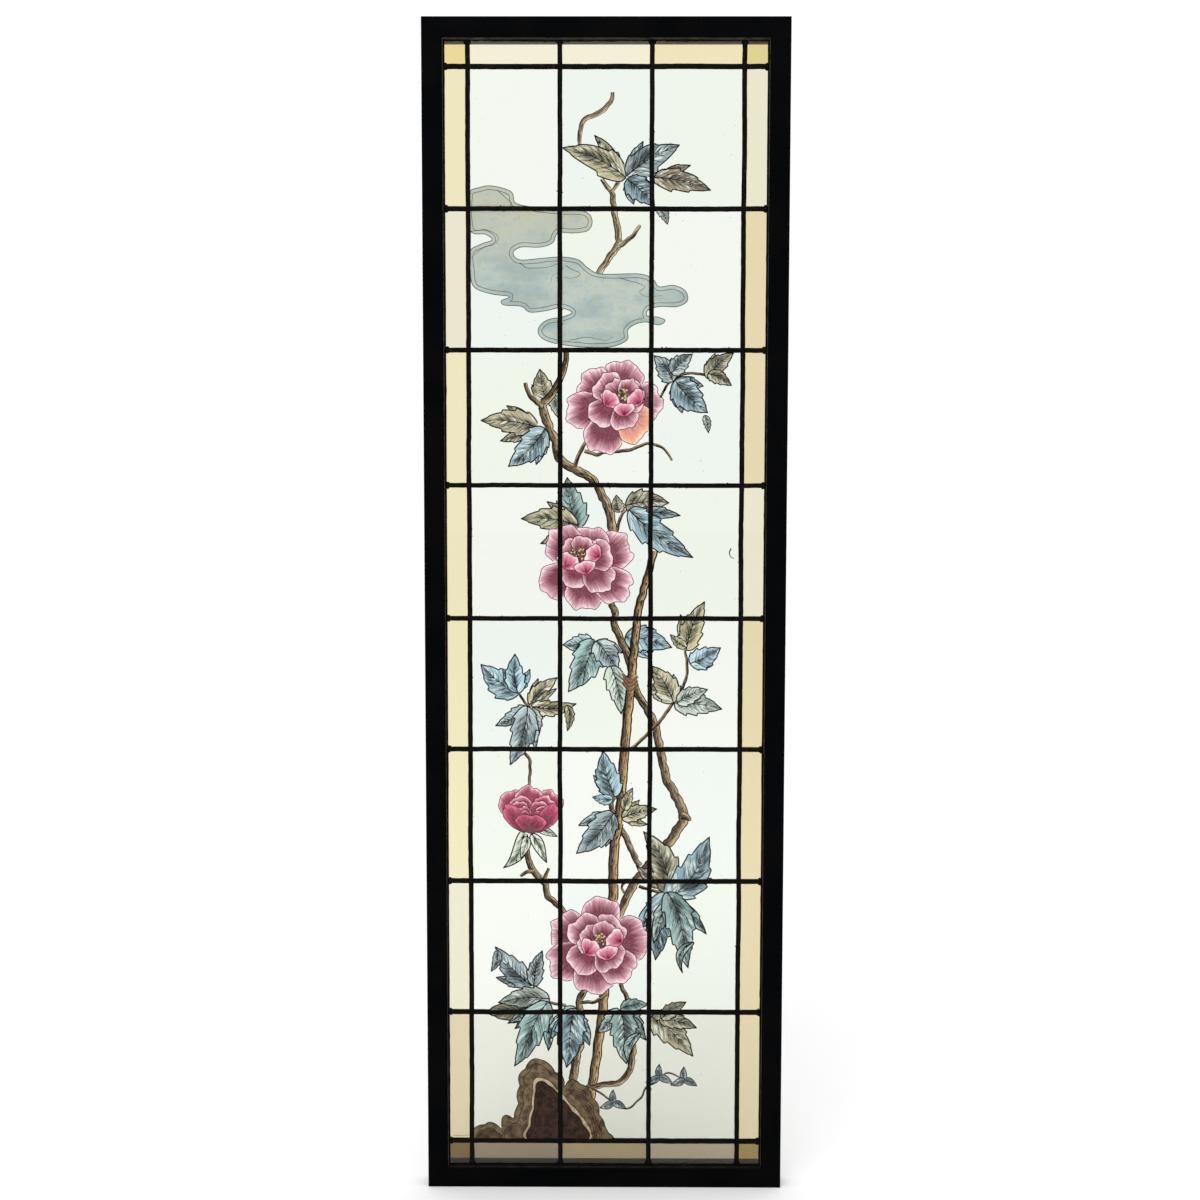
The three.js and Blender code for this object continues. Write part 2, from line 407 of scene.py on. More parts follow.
def came_run(start, end, leaf, seed):
    """One came from start to end, both (x, z), swept with the small wander of hand-worked lead."""
    section = came_section(leaf)
    along = np.array(end) - np.array(start)
    length = float(np.hypot(*along))
    along /= length
    across = left_of(along)
    steps = max(2, round(length / CAME_STEP))
    verts = []
    for i in range(steps + 1):
        distance = length * i / steps
        fade = min(1.0, distance / CAME_STRAIGHT, (length - distance) / CAME_STRAIGHT)
        sway = ripple(distance * 9, seed, 0) * 0.9 * MM * fade
        sway += ripple(distance * 70, seed, 4) * 0.35 * MM
        grow_left = LEAF_SWELL + 0.13 * ripple(distance * 95, seed, 9)
        grow_right = LEAF_SWELL + 0.13 * ripple(distance * 95, seed, 17)
        for a, d in section:
            a *= grow_left if a < 0 else grow_right
            x, z = np.array(start) + along * distance + across * (a + sway)
            verts.append((x, PANEL_Y + d, z))
    count = len(section)
    faces = [tuple(range(count)), tuple(reversed(range(steps * count, (steps + 1) * count)))]
    for i in range(steps):
        for k in range(count):
            a, b = i * count + k, i * count + (k + 1) % count
            faces.append((b, a, a + count, b + count))
    return verts, faces


def solder_blob(x, z, front, seed):
    """A low round joint of solder over a crossing, on one face of the panel."""
    rings, sides = 4, 18
    foot, crown = CHANNEL / 2 + 0.1 * MM, CAME_THICKNESS / 2 + SOLDER_RISE
    turn = -1 if front else 1
    verts = [(x, PANEL_Y + turn * foot, z)]
    for ring in range(rings):
        lift = ring / (rings - 0.4)
        for side in range(sides):
            angle = math.tau * side / sides
            uneven = ripple(math.cos(angle) * 1.3, math.sin(angle) * 1.3, seed)
            reach = SOLDER_RADIUS * (1 + 0.22 * uneven + 0.10 * math.cos(4 * angle)) * math.cos(lift * 1.35)
            height = foot + (crown - foot) * math.sin(lift * 1.45)
            verts.append((x + reach * math.cos(angle), PANEL_Y + turn * height, z + reach * math.sin(angle)))
    verts.append((x, PANEL_Y + turn * crown, z))
    faces = []
    for side in range(sides):
        after = (side + 1) % sides
        faces.append((0, 1 + after, 1 + side))
        for ring in range(rings - 1):
            low, high = 1 + ring * sides, 1 + (ring + 1) * sides
            faces.append((low + side, low + after, high + after, high + side))
        top = 1 + (rings - 1) * sides
        faces.append((top + side, top + after, len(verts) - 1))
    if not front:
        faces = [tuple(reversed(f)) for f in faces]
    return verts, faces


def came_lines():
    """Start, end and leaf of every came: the edge, the uprights, and the rows from upright to upright."""
    half = EDGE_LEAF / 2
    lines = [((-EDGE_X - half, z), (EDGE_X + half, z), EDGE_LEAF) for z in (EDGE_TOP, EDGE_BOTTOM)]
    lines += [((x, EDGE_BOTTOM - half), (x, EDGE_TOP + half), EDGE_LEAF) for x in (-EDGE_X, EDGE_X)]
    lines += [((x, EDGE_BOTTOM), (x, EDGE_TOP), CAME_LEAF) for x in COLUMN_LINES]
    stops = [-EDGE_X, *COLUMN_LINES, EDGE_X]
    for z in ROW_LINES:
        for left, right in zip(stops, stops[1:]):
            level = z + 0.25 * MM * ripple(left * 31, z * 17, 3)
            lines.append(((left, level), (right, level), CAME_LEAF))
    return lines


def joint_places():
    """Where cames meet, all but at the four corners of the edge."""
    rim = EDGE_LEAF / 2 + RIM_JOINT
    across = [-EDGE_X + rim, *COLUMN_LINES, EDGE_X - rim]
    upright = [EDGE_TOP - rim, *ROW_LINES, EDGE_BOTTOM + rim]
    return [(x, z) for x in across for z in upright
            if x in across[1:-1] or z in upright[1:-1]]


def build_lead(material):
    """All cames and solder joints as one piece, standing for the lattice."""
    parts = Parts()
    lines = came_lines()
    for seed, line in enumerate(lines, 1):
        parts.take(*came_run(*line, seed))
    seed = len(lines) + 1
    for x, z in joint_places():
        for front in (True, False):
            seed += 1
            parts.take(*solder_blob(x, z, front, seed))
    lead = new_mesh("soldered_lead_cames", parts.verts, parts.faces, smooth=True)
    lead.data.materials.append(material)
    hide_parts("lead_lattice")
    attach(lead, "root")


# ---- Painting: curves in the panel's plane, in millimetres ----


def spot(column, row):
    """A place on the painting in pane units: column 0 to 3 from the left, row 0 to 8 from the top."""
    x = np.interp(column, range(MAIN_COLUMNS + 1), COLUMN_LINES)
    z = np.interp(row, range(MAIN_ROWS + 1), ROW_LINES)
    return np.array((x, z)) / MM


def spots(*places):
    return [spot(*p) for p in places]


def smooth(points, step=2.0, closed=False):
    """A curve through the points, resampled at about the step."""
    pts = [np.asarray(p, float) for p in points]
    count = len(pts)
    spans = count if closed else count - 1
    out = []
    for i in range(spans):
        p1, p2 = pts[i], pts[(i + 1) % count]
        p0 = pts[i - 1] if closed or i > 0 else 2 * p1 - p2
        p3 = pts[(i + 2) % count] if closed or i + 2 < count else 2 * p2 - p1
        pieces = max(2, int(np.hypot(*(p2 - p1)) / step))
        for k in range(pieces):
            t = k / pieces
            out.append(0.5 * (2 * p1 + (p2 - p0) * t + (2 * p0 - 5 * p1 + 4 * p2 - p3) * t * t
                              + (3 * p1 - p0 - 3 * p2 + p3) * t ** 3))
    if not closed:
        out.append(pts[-1])
    return np.array(out)


def inside(points, outline):
    """Which points lie inside a closed outline."""
    x, y = points[:, 0][:, None], points[:, 1][:, None]
    x1, y1 = outline[:, 0], outline[:, 1]
    x2, y2 = np.roll(x1, -1), np.roll(y1, -1)
    crosses = (y1 > y) != (y2 > y)
    rise = np.where(y2 == y1, 1e-9, y2 - y1)
    hits = crosses & (x < (x2 - x1) * (y - y1) / rise + x1)
    return hits.sum(axis=1) % 2 == 1


def normals_of(line):
    """Unit vectors to the left of a line's direction, one for each point."""
    way = np.gradient(line, axis=0)
    way /= np.maximum(np.hypot(way[:, 0], way[:, 1]), 1e-9)[:, None]
    return np.stack((-way[:, 1], way[:, 0]), axis=1)


def wobble(line, size, scale, seed):
    """A line with a small hand-drawn unevenness."""
    shift = [ripple(i * scale, seed, 2.5) * size for i in range(len(line))]
    return line + normals_of(line) * np.array(shift)[:, None]


class Area:
    """One painted area: its outline, its shading coordinates, its two tones and the ink lines on it."""

    def __init__(self, kind, outline, shading, light, deep):
        self.kind = kind
        self.outline = np.asarray(outline)
        self.shading = shading
        self.light = light
        self.deep = deep
        self.lines = []

    def ink(self, line, tint, start, end=None):
        """A trace line that swells in its middle and thins to its ends; widths in millimetres."""
        self.lines.append((np.asarray(line), tint, start, start if end is None else end))

    def outline_ink(self, tint, width):
        self.ink(np.vstack((self.outline, self.outline[:1])), tint, width)


AREAS = []


def add_area(kind, outline, shading, light, deep):
    area = Area(kind, outline, shading, light, deep)
    AREAS.append(area)
    return area


def new_seed(rng):
    return rng.randrange(1, 9999)


# ---- Painting: petals and blooms ----

PETAL_RIM = (244, 216, 222)
PETAL_DEEP = (104, 12, 42)
PETAL_CREAM = (238, 222, 200)
PETAL_WARM = (212, 140, 124)
CUP_RIM = (247, 226, 230)
CUP_DEEP = (176, 62, 98)
ANTHERS = 40
ANTHER_DARK = ((72, 58, 32), (36, 28, 20))
ANTHER_YELLOW = ((236, 228, 168), (178, 162, 92))


def petal(base, heading, length, width, seed, light=PETAL_RIM, deep=PETAL_DEEP, cover=0.0, depth=0.05):
    """A rounded petal from its base, along a heading in degrees, with a waved rim. Width is half its
    breadth; cover is the part of it that nearer petals hide, so that its shading starts past there."""
    rng = random.Random(seed)
    base = np.asarray(base, float)
    ahead = toward(math.radians(heading))
    side = left_of(ahead)
    phase = rng.uniform(0, math.tau)
    notch = rng.uniform(0.6, 1.4)
    lean = rng.uniform(-0.12, 0.12)
    outline = []
    for t in np.linspace(0, math.tau, 53)[:-1]:
        forward = (1 - math.cos(t)) / 2
        across = math.sin(t) * (0.42 + 0.58 * forward ** 0.8) * 1.27
        wave = math.cos(1.7 * math.pi * across + phase) + 0.5 * math.cos(3.6 * across * math.pi - phase)
        reach = forward * (1 + depth * forward ** 2 * notch * wave)
        sway = 1 + 0.5 * depth * math.cos(5 * forward * math.pi + phase)
        outline.append(base + ahead * length * reach + side * width * (across * sway + lean * forward))
    outline = np.array(outline)
    middle = base + ahead * length * 0.05
    away = outline - middle
    angles = np.arctan2(away @ side, away @ ahead)
    order = np.argsort(angles)
    angles = np.concatenate((angles[order] - math.tau, angles[order], angles[order] + math.tau))
    radii = np.tile(np.hypot(away[:, 0], away[:, 1])[order], 3)

    def shading(points):
        gap = points - middle
        turn = np.arctan2(gap @ side, gap @ ahead)
        edge = np.maximum(np.interp(turn, angles, radii), 0.3 * length)
        share = np.hypot(gap[:, 0], gap[:, 1]) / edge
        return np.stack(((share - cover) / (1 - cover), turn * 2 + seed % 97), axis=1)

    area = add_area("petal", outline, shading, light, deep)
    area.outline_ink("plum_grey", 1.05)
    for k in range(rng.randint(16, 22)):
        turn = rng.uniform(-0.85, 0.85)
        way = ahead * math.cos(turn) + side * math.sin(turn)
        edge = float(np.interp(turn, angles, radii))
        start = cover + (1 - cover) * rng.uniform(0.02, 0.2)
        stop = cover + (1 - cover) * rng.uniform(0.4, 0.78)
        line = [middle + way * edge * t + side * rng.uniform(-0.2, 0.2)
                for t in np.linspace(start, stop, 6)]
        area.ink(line, "plum", 0.5, 0.1)


def stamens(centre, long_radius, short_radius, tilt, seed):
    """A tuft of small yellow anthers with dark dots between them."""
    rng = random.Random(seed)
    along = toward(math.radians(tilt))
    across = left_of(along)
    for k in range(ANTHERS):
        reach = math.sqrt(rng.random())
        angle = rng.uniform(0, math.tau)
        middle = centre + along * long_radius * reach * math.cos(angle)
        middle = middle + across * short_radius * reach * math.sin(angle)
        size = rng.uniform(1.1, 1.9)
        ring = np.array([middle + size * toward(a) for a in np.linspace(0, math.tau, 9)[:-1]])
        tones = ANTHER_DARK if k % 3 == 0 else ANTHER_YELLOW

        def shading(points, middle=middle, size=size):
            away = (points - middle) / size
            return np.stack((0.5 + 0.5 * away[:, 1], away[:, 0]), axis=1)

        area = add_area("stamen", ring, shading, *tones)
        area.outline_ink("umber", 0.45)


def bloom(centre, reach_x, reach_z, heart, tilt, seed, blush=None):
    """A peony: two rings of petals, the inner ones round the tuft, and cupped ones in front of it.
    Blush gives the headings, in degrees, between which the outer petals are a warm cream."""
    rng = random.Random(seed)
    centre = np.asarray(centre, float)
    heart = np.asarray(heart, float)

    def reach(angle):
        return 1 / math.hypot(math.cos(angle) / reach_x, math.sin(angle) / reach_z)

    def ring(count, start, inner, outer, width, cover, pull, loose):
        for k in range(count):
            heading = start + 360 * k / count + rng.uniform(-8, 8)
            angle = math.radians(heading)
            way = toward(angle)
            base = centre + (heart - centre) * pull + way * reach(angle) * inner
            tip = centre + (heart - centre) * pull * 0.4 + way * reach(angle) * outer * rng.uniform(*loose)
            span = tip - base
            warm = blush and blush[0] < heading % 360 < blush[1]
            petal(base, math.degrees(math.atan2(span[1], span[0])) + rng.uniform(-7, 7),
                  float(np.hypot(*span)), reach(angle) * width * rng.uniform(0.9, 1.1), new_seed(rng),
                  PETAL_CREAM if warm else PETAL_RIM, PETAL_WARM if warm else PETAL_DEEP, cover, 0.042)

    ring(6, 10 + tilt, 0.12, 1.0, 0.41, 0.50, 0.2, (0.92, 1.07))
    ring(4, 205 + tilt, 0.04, 0.66, 0.34, 0.42, 0.6, (0.88, 1.08))
    inner = (reach_x + reach_z) / 2 * 0.31
    for heading in (158, 22, 118, 66):
        petal(heart - np.array((0, inner * 0.25)), heading + tilt, inner * 1.55, inner * 0.74,
              new_seed(rng), cover=0.35, depth=0.05)
    stamens(heart + np.array((0, inner * 0.10)), reach_x * 0.17, reach_z * 0.13, tilt - 25, seed)
    for heading, offset, size in ((142, 338, 1.0), (46, 208, 1.05), (94, 274, 0.9)):
        base = heart + toward(math.radians(offset + tilt)) * inner * 1.42
        petal(base, heading + tilt * 0.5, inner * size * 1.05, inner * 0.74, new_seed(rng),
              CUP_RIM, CUP_DEEP, depth=0.05)


def bud(centre, radius, seed):
    """A round crimson bud: arched petals nested in each other, held by cupped ones at its foot."""
    rng = random.Random(seed)
    centre = np.asarray(centre, float)

    def fold(across, lift, heading, length, width, cover, light, deep):
        base = centre + np.array((across, lift)) * radius
        petal(base, heading, length * radius, width * radius, new_seed(rng), light, deep, cover,
              depth=0.035)

    pale, rose, crimson, wine = (246, 208, 216), (208, 104, 130), (136, 22, 54), (98, 12, 38)
    for across, heading, length in ((-0.25, 124, 1.46), (0.3, 58, 1.46), (0.0, 92, 1.52)):
        fold(across, -0.5, heading, length, 0.6, 0.7, pale, crimson)
    for size, drift in ((0.86, 0.06), (0.70, -0.06), (0.55, 0.08), (0.42, 0.0), (0.29, 0.06)):
        fold(drift - 0.12, -0.62, 112, size * 1.5, size * 0.56, 0.74, pale, crimson)
        fold(drift + 0.22, -0.62, 70, size * 1.5, size * 0.56, 0.74, pale, crimson)
    fold(-0.20, -0.95, 128, 1.42, 0.36, 0.3, rose, wine)
    fold(0.26, -0.95, 52, 1.45, 0.38, 0.3, rose, wine)
    fold(0.02, -1.0, 86, 0.80, 0.66, 0.3, rose, wine)


# ---- Painting: leaves ----

LEAF_TONES = {
    "blue": ((136, 171, 184), (26, 42, 50)),
    "slate": ((152, 172, 178), (40, 56, 62)),
    "teal": ((148, 182, 178), (40, 66, 68)),
    "olive": ((174, 166, 128), (74, 66, 46)),
    "brown": ((148, 132, 102), (70, 57, 41)),
    "grey_green": ((174, 186, 172), (96, 112, 102)),
    "pale": ((204, 208, 192), (136, 148, 130)),
    "dusk": ((112, 130, 138), (34, 46, 52)),
}
PALE_LEAF_ROWS = (4.1, 5.9)  # rows whose leaves have a thinner wash


def blade(base, tip, width, tone, seed, bend=0.0, teeth=4, veins=4, flip=False, curl=0.0, wash=1.0):
    """One pointed leaf blade: a curved midrib, toothed margins, a light half and a dark half.
    Curl turns its tip aside like a hook."""
    rng = random.Random(seed)
    base, tip = np.asarray(base, float), np.asarray(tip, float)
    length = float(np.hypot(*(tip - base)))
    ahead = (tip - base) / length
    side = left_of(ahead) * (-1 if flip else 1)
    peak = 0.33 ** 0.55 * 0.67 ** 1.1

    def rib(u):
        return length * (4 * bend * u * (1 - u) + curl * (u ** 4 - u))

    def half(u):
        return width * length * 0.5 * np.maximum(u, 1e-6) ** 0.55 * np.maximum(1 - u, 0) ** 1.1 / peak

    def place(u, across):
        return base + ahead * (u * length) + side * (rib(u) + across)

    def margin(turn, shift):
        points = []
        for u in np.linspace(0, 1, 15 * max(teeth, 2))[1:-1]:
            saw = ((u - 0.06) * teeth * 1.12 + shift) % 1.0
            bite = (0.23 * saw ** 1.6 - 0.09) * min(1.0, 4.5 * u, 2.6 * (1 - u)) if teeth else 0
            reach = half(u) * (1 + bite) + (0.009 * length * saw if teeth and u < 0.9 else 0)
            points.append(place(u + 0.014 * bite, turn * reach))
        return points

    right = margin(-1, rng.uniform(0.0, 0.5))
    left = margin(1, rng.uniform(0.3, 0.8))
    outline = np.array([place(0, 0)] + right + [place(1, 0)] + left[::-1])

    def shading(points):
        u = np.clip((points - base) @ ahead / length, 0.0, 1.0)
        across = (points - base) @ side - rib(u)
        return np.stack((u + seed % 89, np.clip(across / np.maximum(half(u), 0.4), -1.2, 1.2)), axis=1)

    light, deep = LEAF_TONES[tone]
    vary = rng.uniform(0.88, 1.06) * wash
    area = add_area("leaf", outline, shading, tuple(min(255, c * vary) for c in light),
                    tuple(c * vary for c in deep))
    thin = min(1.0, length / 55)
    area.outline_ink("leaf_ink", 0.85 + 0.95 * thin)
    area.ink([place(u, 0) for u in np.linspace(0.0, 0.97, 14)], "leaf_ink", 1.5 * thin + 0.2, 0.35)
    for k in range(veins):
        u = 0.12 + 0.62 * k / max(veins, 1) + rng.uniform(-0.02, 0.02)
        for turn in (1, -1):
            reach = rng.uniform(0.7, 0.95)
            line = [place(u + 0.17 * t * (1 - u) * 1.6, turn * half(u + 0.17 * t) * reach * t ** 1.1)
                    for t in np.linspace(0.02, 1, 7)]
            area.ink(line, "leaf_ink", 0.95 * thin + 0.15, 0.22)
    for k in range(int(length / 2.2)):
        u = rng.uniform(0.06, 0.82)
        turn = 1 if k % 3 else -1
        start, long = rng.uniform(0.02, 0.55), rng.uniform(0.14, 0.36)
        line = [place(u + 0.13 * t, turn * half(u) * (start + long * t)) for t in (0, 0.5, 1)]
        area.ink(line, "leaf_ink", rng.uniform(0.5, 0.95), 0.16)


def leaf(base, tip, tone, seed, width, lobes=0, bend=0.05, flip=False, curl=0.0, teeth=4):
    """A leaf of one main blade and up to two side lobes, placed in pane units."""
    rng = random.Random(seed * 7 + 1)
    wash = 1.12 if PALE_LEAF_ROWS[0] < base[1] < PALE_LEAF_ROWS[1] else 0.97
    base, tip = spots(base, tip)
    way = tip - base
    length = float(np.hypot(*way))
    heading = math.atan2(way[1], way[0])
    for turn in (1, -1)[:lobes]:
        turn = -turn if flip else turn
        angle = heading + turn * math.radians(rng.uniform(30, 40))
        start = base + way * 0.10
        end = start + toward(angle) * length * rng.uniform(0.54, 0.66)
        blade(start, end, width * 0.86, tone, new_seed(rng), bend=0.05 * turn, teeth=2, veins=3,
              wash=wash)
    blade(base, tip, width, tone, new_seed(rng), bend=bend, teeth=teeth,
          veins=5 if teeth else 2, flip=flip, curl=curl, wash=wash)


# ---- Painting: branches, cane, cloud and rock ----


def ribbon_shading(line, half):
    """Shading coordinates of a long area: distance along its middle line, and -1 to 1 across it."""
    steps = np.diff(line, axis=0)
    lengths = np.hypot(steps[:, 0], steps[:, 1])
    starts = np.concatenate(([0], np.cumsum(lengths)))
    left = normals_of(line)

    def shading(points):
        rows = []
        for p in points:
            away = p - line[:-1]
            t = np.clip((away * steps).sum(axis=1) / np.maximum(lengths ** 2, 1e-9), 0, 1)
            gap = away - steps * t[:, None]
            k = int(np.argmin((gap ** 2).sum(axis=1)))
            width = half[k] * (1 - t[k]) + half[k + 1] * t[k]
            across = float(gap[k] @ left[k]) / max(width, 0.1)
            rows.append(((starts[k] + t[k] * lengths[k]) / 10, max(-1.0, min(1.0, across))))
        return np.array(rows)

    return shading


def branch(places, widths, seed, light=(190, 164, 124), deep=(52, 38, 28), ink="bark_ink",
           ink_width=1.5, knots=0.34, dashes=1.5):
    """A branch through places in pane units. Its widths in millimetres are spread evenly along it."""
    rng = random.Random(seed)
    line = wobble(smooth(spots(*places), 2.5), 1.3, 0.22, seed)
    along = np.linspace(0, 1, len(line))
    full = np.interp(along, np.linspace(0, 1, len(widths)), widths)
    left = normals_of(line)
    ink_width *= min(1.0, max(0.55, float(full.mean()) / 9))
    uneven = np.array([[1 + knots * ripple(i * 0.32, seed, row) for i in range(len(line))]
                       for row in (0, 9)])
    port = line + left * (full / 2 * uneven[0])[:, None]
    starboard = line - left * (full / 2 * uneven[1])[:, None]
    outline = np.vstack((port, starboard[::-1]))
    area = add_area("bark", outline, ribbon_shading(line, full / 2), light, deep)
    area.ink(port, ink, ink_width, ink_width * 0.8)
    area.ink(starboard, ink, ink_width * 1.35, ink_width)
    if full[-1] > 2:
        area.ink([port[-1], line[-1] + (line[-1] - line[-2]) * 0.4, starboard[-1]], ink, ink_width)
    for k in range(int(len(line) * dashes)):
        start = rng.randrange(0, max(1, len(line) - 6))
        shift = rng.uniform(-0.32, 0.42)
        stretch = range(start, min(len(line), start + rng.randint(3, 7)))
        dash = [line[i] - left[i] * full[i] * shift for i in stretch]
        if len(dash) > 2:
            area.ink(dash, ink, 0.6 * ink_width, 0.2)


def panel_shading(points):
    return points / 100


def cloud(places):
    """A flat bank of cloud with a second line running just inside its edge."""
    outline = smooth(spots(*places), 2.2, closed=True)
    area = add_area("cloud", outline, panel_shading, (180, 192, 185), (152, 168, 165))
    area.outline_ink("cloud_ink", 1.1)
    inset_lines(area, 5.5, "cloud_ink", 0.8)
    return area


def inset_lines(area, inset, tint, width):
    """Lines that follow an area's edge at a given distance inside it."""
    outline = area.outline
    turn = 1 if signed_area(outline) > 0 else -1
    inner = outline + normals_of(outline) * inset * turn
    gaps = np.sqrt(((inner[:, None, :] - outline[None, :, :]) ** 2).sum(axis=2)).min(axis=1)
    keep = (gaps > inset * 0.93) & inside(inner, outline)
    for run in runs(keep):
        if len(run) > 6:
            area.ink(wobble(inner[run], 0.8, 0.2, inset), tint, width)


def signed_area(outline):
    x, y = outline[:, 0], outline[:, 1]
    return 0.5 * float(np.sum(x * np.roll(y, -1) - np.roll(x, -1) * y))


def runs(keep):
    """Stretches of consecutive kept indexes."""
    found, current = [], []
    for i, flag in enumerate(keep):
        if flag:
            current.append(i)
        elif current:
            found.append(current)
            current = []
    if current:
        found.append(current)
    return found


def rock(places, light, deep, scallop, seed, width=0.9, inset=None):
    """A flat painted stone shape; scallop is the height of the row of small bulges along its edge."""
    outline = smooth(spots(*places), 1.6, closed=True)
    turn = -1 if signed_area(outline) > 0 else 1
    bulge = np.abs(np.sin(np.arange(len(outline)) * 0.19 + seed)) * scallop
    outline = outline + normals_of(outline) * (turn * bulge)[:, None]
    area = add_area("rock", outline, panel_shading, light, deep)
    area.outline_ink("bark_ink", width)
    if inset:
        inset_lines(area, inset, "bark_ink", width * 0.8)


# ---- Painting: the arrangement, from the top of the panel to its foot ----


PALE_BARK = ((204, 190, 152), (126, 108, 78), "twig_ink")


def paint_cloud_rows():
    """The top sprig, its stem and the bank of cloud across the stem's foot."""
    branch([(1.57, .18), (1.55, .25), (1.44, .32), (1.26, .38), (1.22, .46), (1.21, .53), (1.25, .6)],
           (4, 6, 6.4, 6.4, 6, 5, 3), 11, *PALE_BARK)
    branch([(1.45, .79), (1.56, .88), (1.58, .97), (1.62, 1.11), (1.64, 1.24), (1.54, 1.34), (1.41, 1.47)],
           (4, 6.5, 7.5, 8.5, 9, 8.5, 8), 12, *PALE_BARK)
    branch([(1.64, 1.26), (1.78, 1.2), (1.87, 1.12)], (7, 5.5, 4), 13, *PALE_BARK)
    branch([(1.68, .78), (1.62, .83), (1.56, .88)], (4, 4.5, 5), 14, *PALE_BARK)
    leaf((1.72, .78), (1.02, .57), "olive", 1, 0.36, 1, 0.07, flip=True, teeth=2)
    leaf((1.72, .77), (2.30, .55), "slate", 2, 0.44, 1, teeth=2)
    leaf((2.02, .78), (2.64, .87), "brown", 4, 0.36, 1, teeth=3)
    leaf((1.73, .79), (2.03, .98), "blue", 3, 0.62, 2, 0.04)
    leaf((2.07, .99), (2.17, 1.11), "grey_green", 5, 0.5, bend=0.1)
    bank = cloud([
        (.01, .9), (.13, .85), (.27, .84), (.47, .88), (.52, .96), (.73, .99), (1.0, 1.01), (1.27, 1.02),
        (1.35, 1.08), (1.31, 1.15), (1.16, 1.17), (.98, 1.17), (.92, 1.24), (.78, 1.27), (.58, 1.27),
        (.49, 1.31), (.56, 1.36), (.8, 1.35), (1.02, 1.34), (1.2, 1.36), (1.31, 1.42), (1.45, 1.46),
        (1.87, 1.46), (2.02, 1.5), (2.08, 1.55), (2.24, 1.54), (2.37, 1.58), (2.39, 1.65), (2.28, 1.69),
        (2.1, 1.69), (1.97, 1.71), (1.95, 1.755), (2.07, 1.765), (2.15, 1.79), (2.08, 1.82), (1.93, 1.8),
        (1.81, 1.82), (1.74, 1.86), (1.73, 1.93), (1.52, 1.98), (1.12, 1.97),
        (.84, 1.93), (.76, 1.86), (.85, 1.79), (1.05, 1.76), (1.13, 1.73), (1.0, 1.70), (.85, 1.72),
        (.67, 1.73), (.58, 1.69), (.39, 1.68), (.36, 1.65), (.45, 1.62), (.24, 1.6), (.06, 1.55),
        (.02, 1.43), (.02, 1.3), (.14, 1.25), (.26, 1.22), (.19, 1.18), (.02, 1.15)])
    for eddy in ([(.32, .87), (.42, .93), (.47, .97), (.38, 1.0), (.31, .98)],
                 [(.03, 1.16), (.2, 1.15), (.33, 1.2), (.28, 1.25), (.16, 1.28), (.04, 1.34)],
                 [(.56, 1.38), (.66, 1.42), (.88, 1.41), (.98, 1.39), (1.03, 1.43), (.92, 1.47), (.9, 1.52)],
                 [(1.06, 1.4), (1.14, 1.43), (1.22, 1.46), (1.14, 1.49), (1.04, 1.48)],
                 [(1.66, 1.49), (1.82, 1.52), (1.93, 1.55), (1.87, 1.59), (1.96, 1.62), (2.12, 1.61)],
                 [(1.1, 1.93), (1.3, 1.91), (1.5, 1.93), (1.58, 1.9)]):
        bank.ink(wobble(smooth(spots(*eddy), 2.0), 0.6, 0.2, eddy[0][0]), "cloud_ink", 0.9, 0.35)


def paint_first_bloom():
    """The branch below the cloud with the first bloom and the leaves on its two sides."""
    leaf((.87, 2.4), (.78, 2.14), "olive", 6, 0.62, 1)
    leaf((.91, 2.33), (.98, 2.5), "grey_green", 7, 0.5)
    branch([(1.07, 1.99), (1.06, 2.11), (1.02, 2.19), (.96, 2.28), (.87, 2.36), (.8, 2.41), (.85, 2.51),
            (.9, 2.6), (.96, 2.69), (.98, 2.77), (1.06, 2.84), (1.2, 2.89), (1.33, 2.94), (1.42, 3.02),
            (1.5, 3.12), (1.56, 3.24), (1.58, 3.34), (1.59, 3.42)], (6, 8, 11, 12, 12, 12, 11, 12, 12), 21)
    branch([(.62, 2.24), (.64, 2.3), (.7, 2.36), (.81, 2.42)], (4.5, 5.5, 7), 22)
    branch([(1.16, 2.86), (1.21, 2.76), (1.3, 2.66)], (5, 5, 5), 23)
    branch([(1.27, 2.74), (1.39, 2.77), (1.51, 2.75), (1.74, 2.74), (1.85, 2.71), (1.98, 2.69), (2.13, 2.72),
            (2.23, 2.81)], (4.5, 4.5, 4, 3.5, 2.4), 24)
    leaf((.76, 2.57), (.13, 2.52), "olive", 8, 0.42, 2, -0.05)
    leaf((.84, 2.58), (.43, 2.86), "blue", 9, 0.5, 1)
    bloom(spot(1.58, 2.42), 68, 66, spot(1.69, 2.34), 0, 301, (300, 372))
    branch([(2.1, 2.35), (2.16, 2.27), (2.23, 2.22)], (2.6, 3, 3), 25)
    branch([(2.23, 2.21), (2.38, 2.17), (2.59, 2.18), (2.74, 2.22)], (3.5, 3.2, 3, 2.2), 26)
    leaf((2.24, 2.23), (2.03, 2.04), "slate", 10, 0.62, 1, 0.06, flip=True)
    leaf((2.22, 2.17), (2.45, 2.03), "slate", 101, 0.62)
    leaf((2.26, 2.22), (2.62, 2.46), "blue", 11, 0.62, 2, -0.05)
    leaf((2.6, 2.2), (2.9, 2.02), "olive", 12, 0.5, 1)
    leaf((2.62, 2.17), (2.88, 2.26), "olive", 121, 0.5)
    leaf((2.59, 2.48), (2.63, 2.61), "grey_green", 13, 0.4)


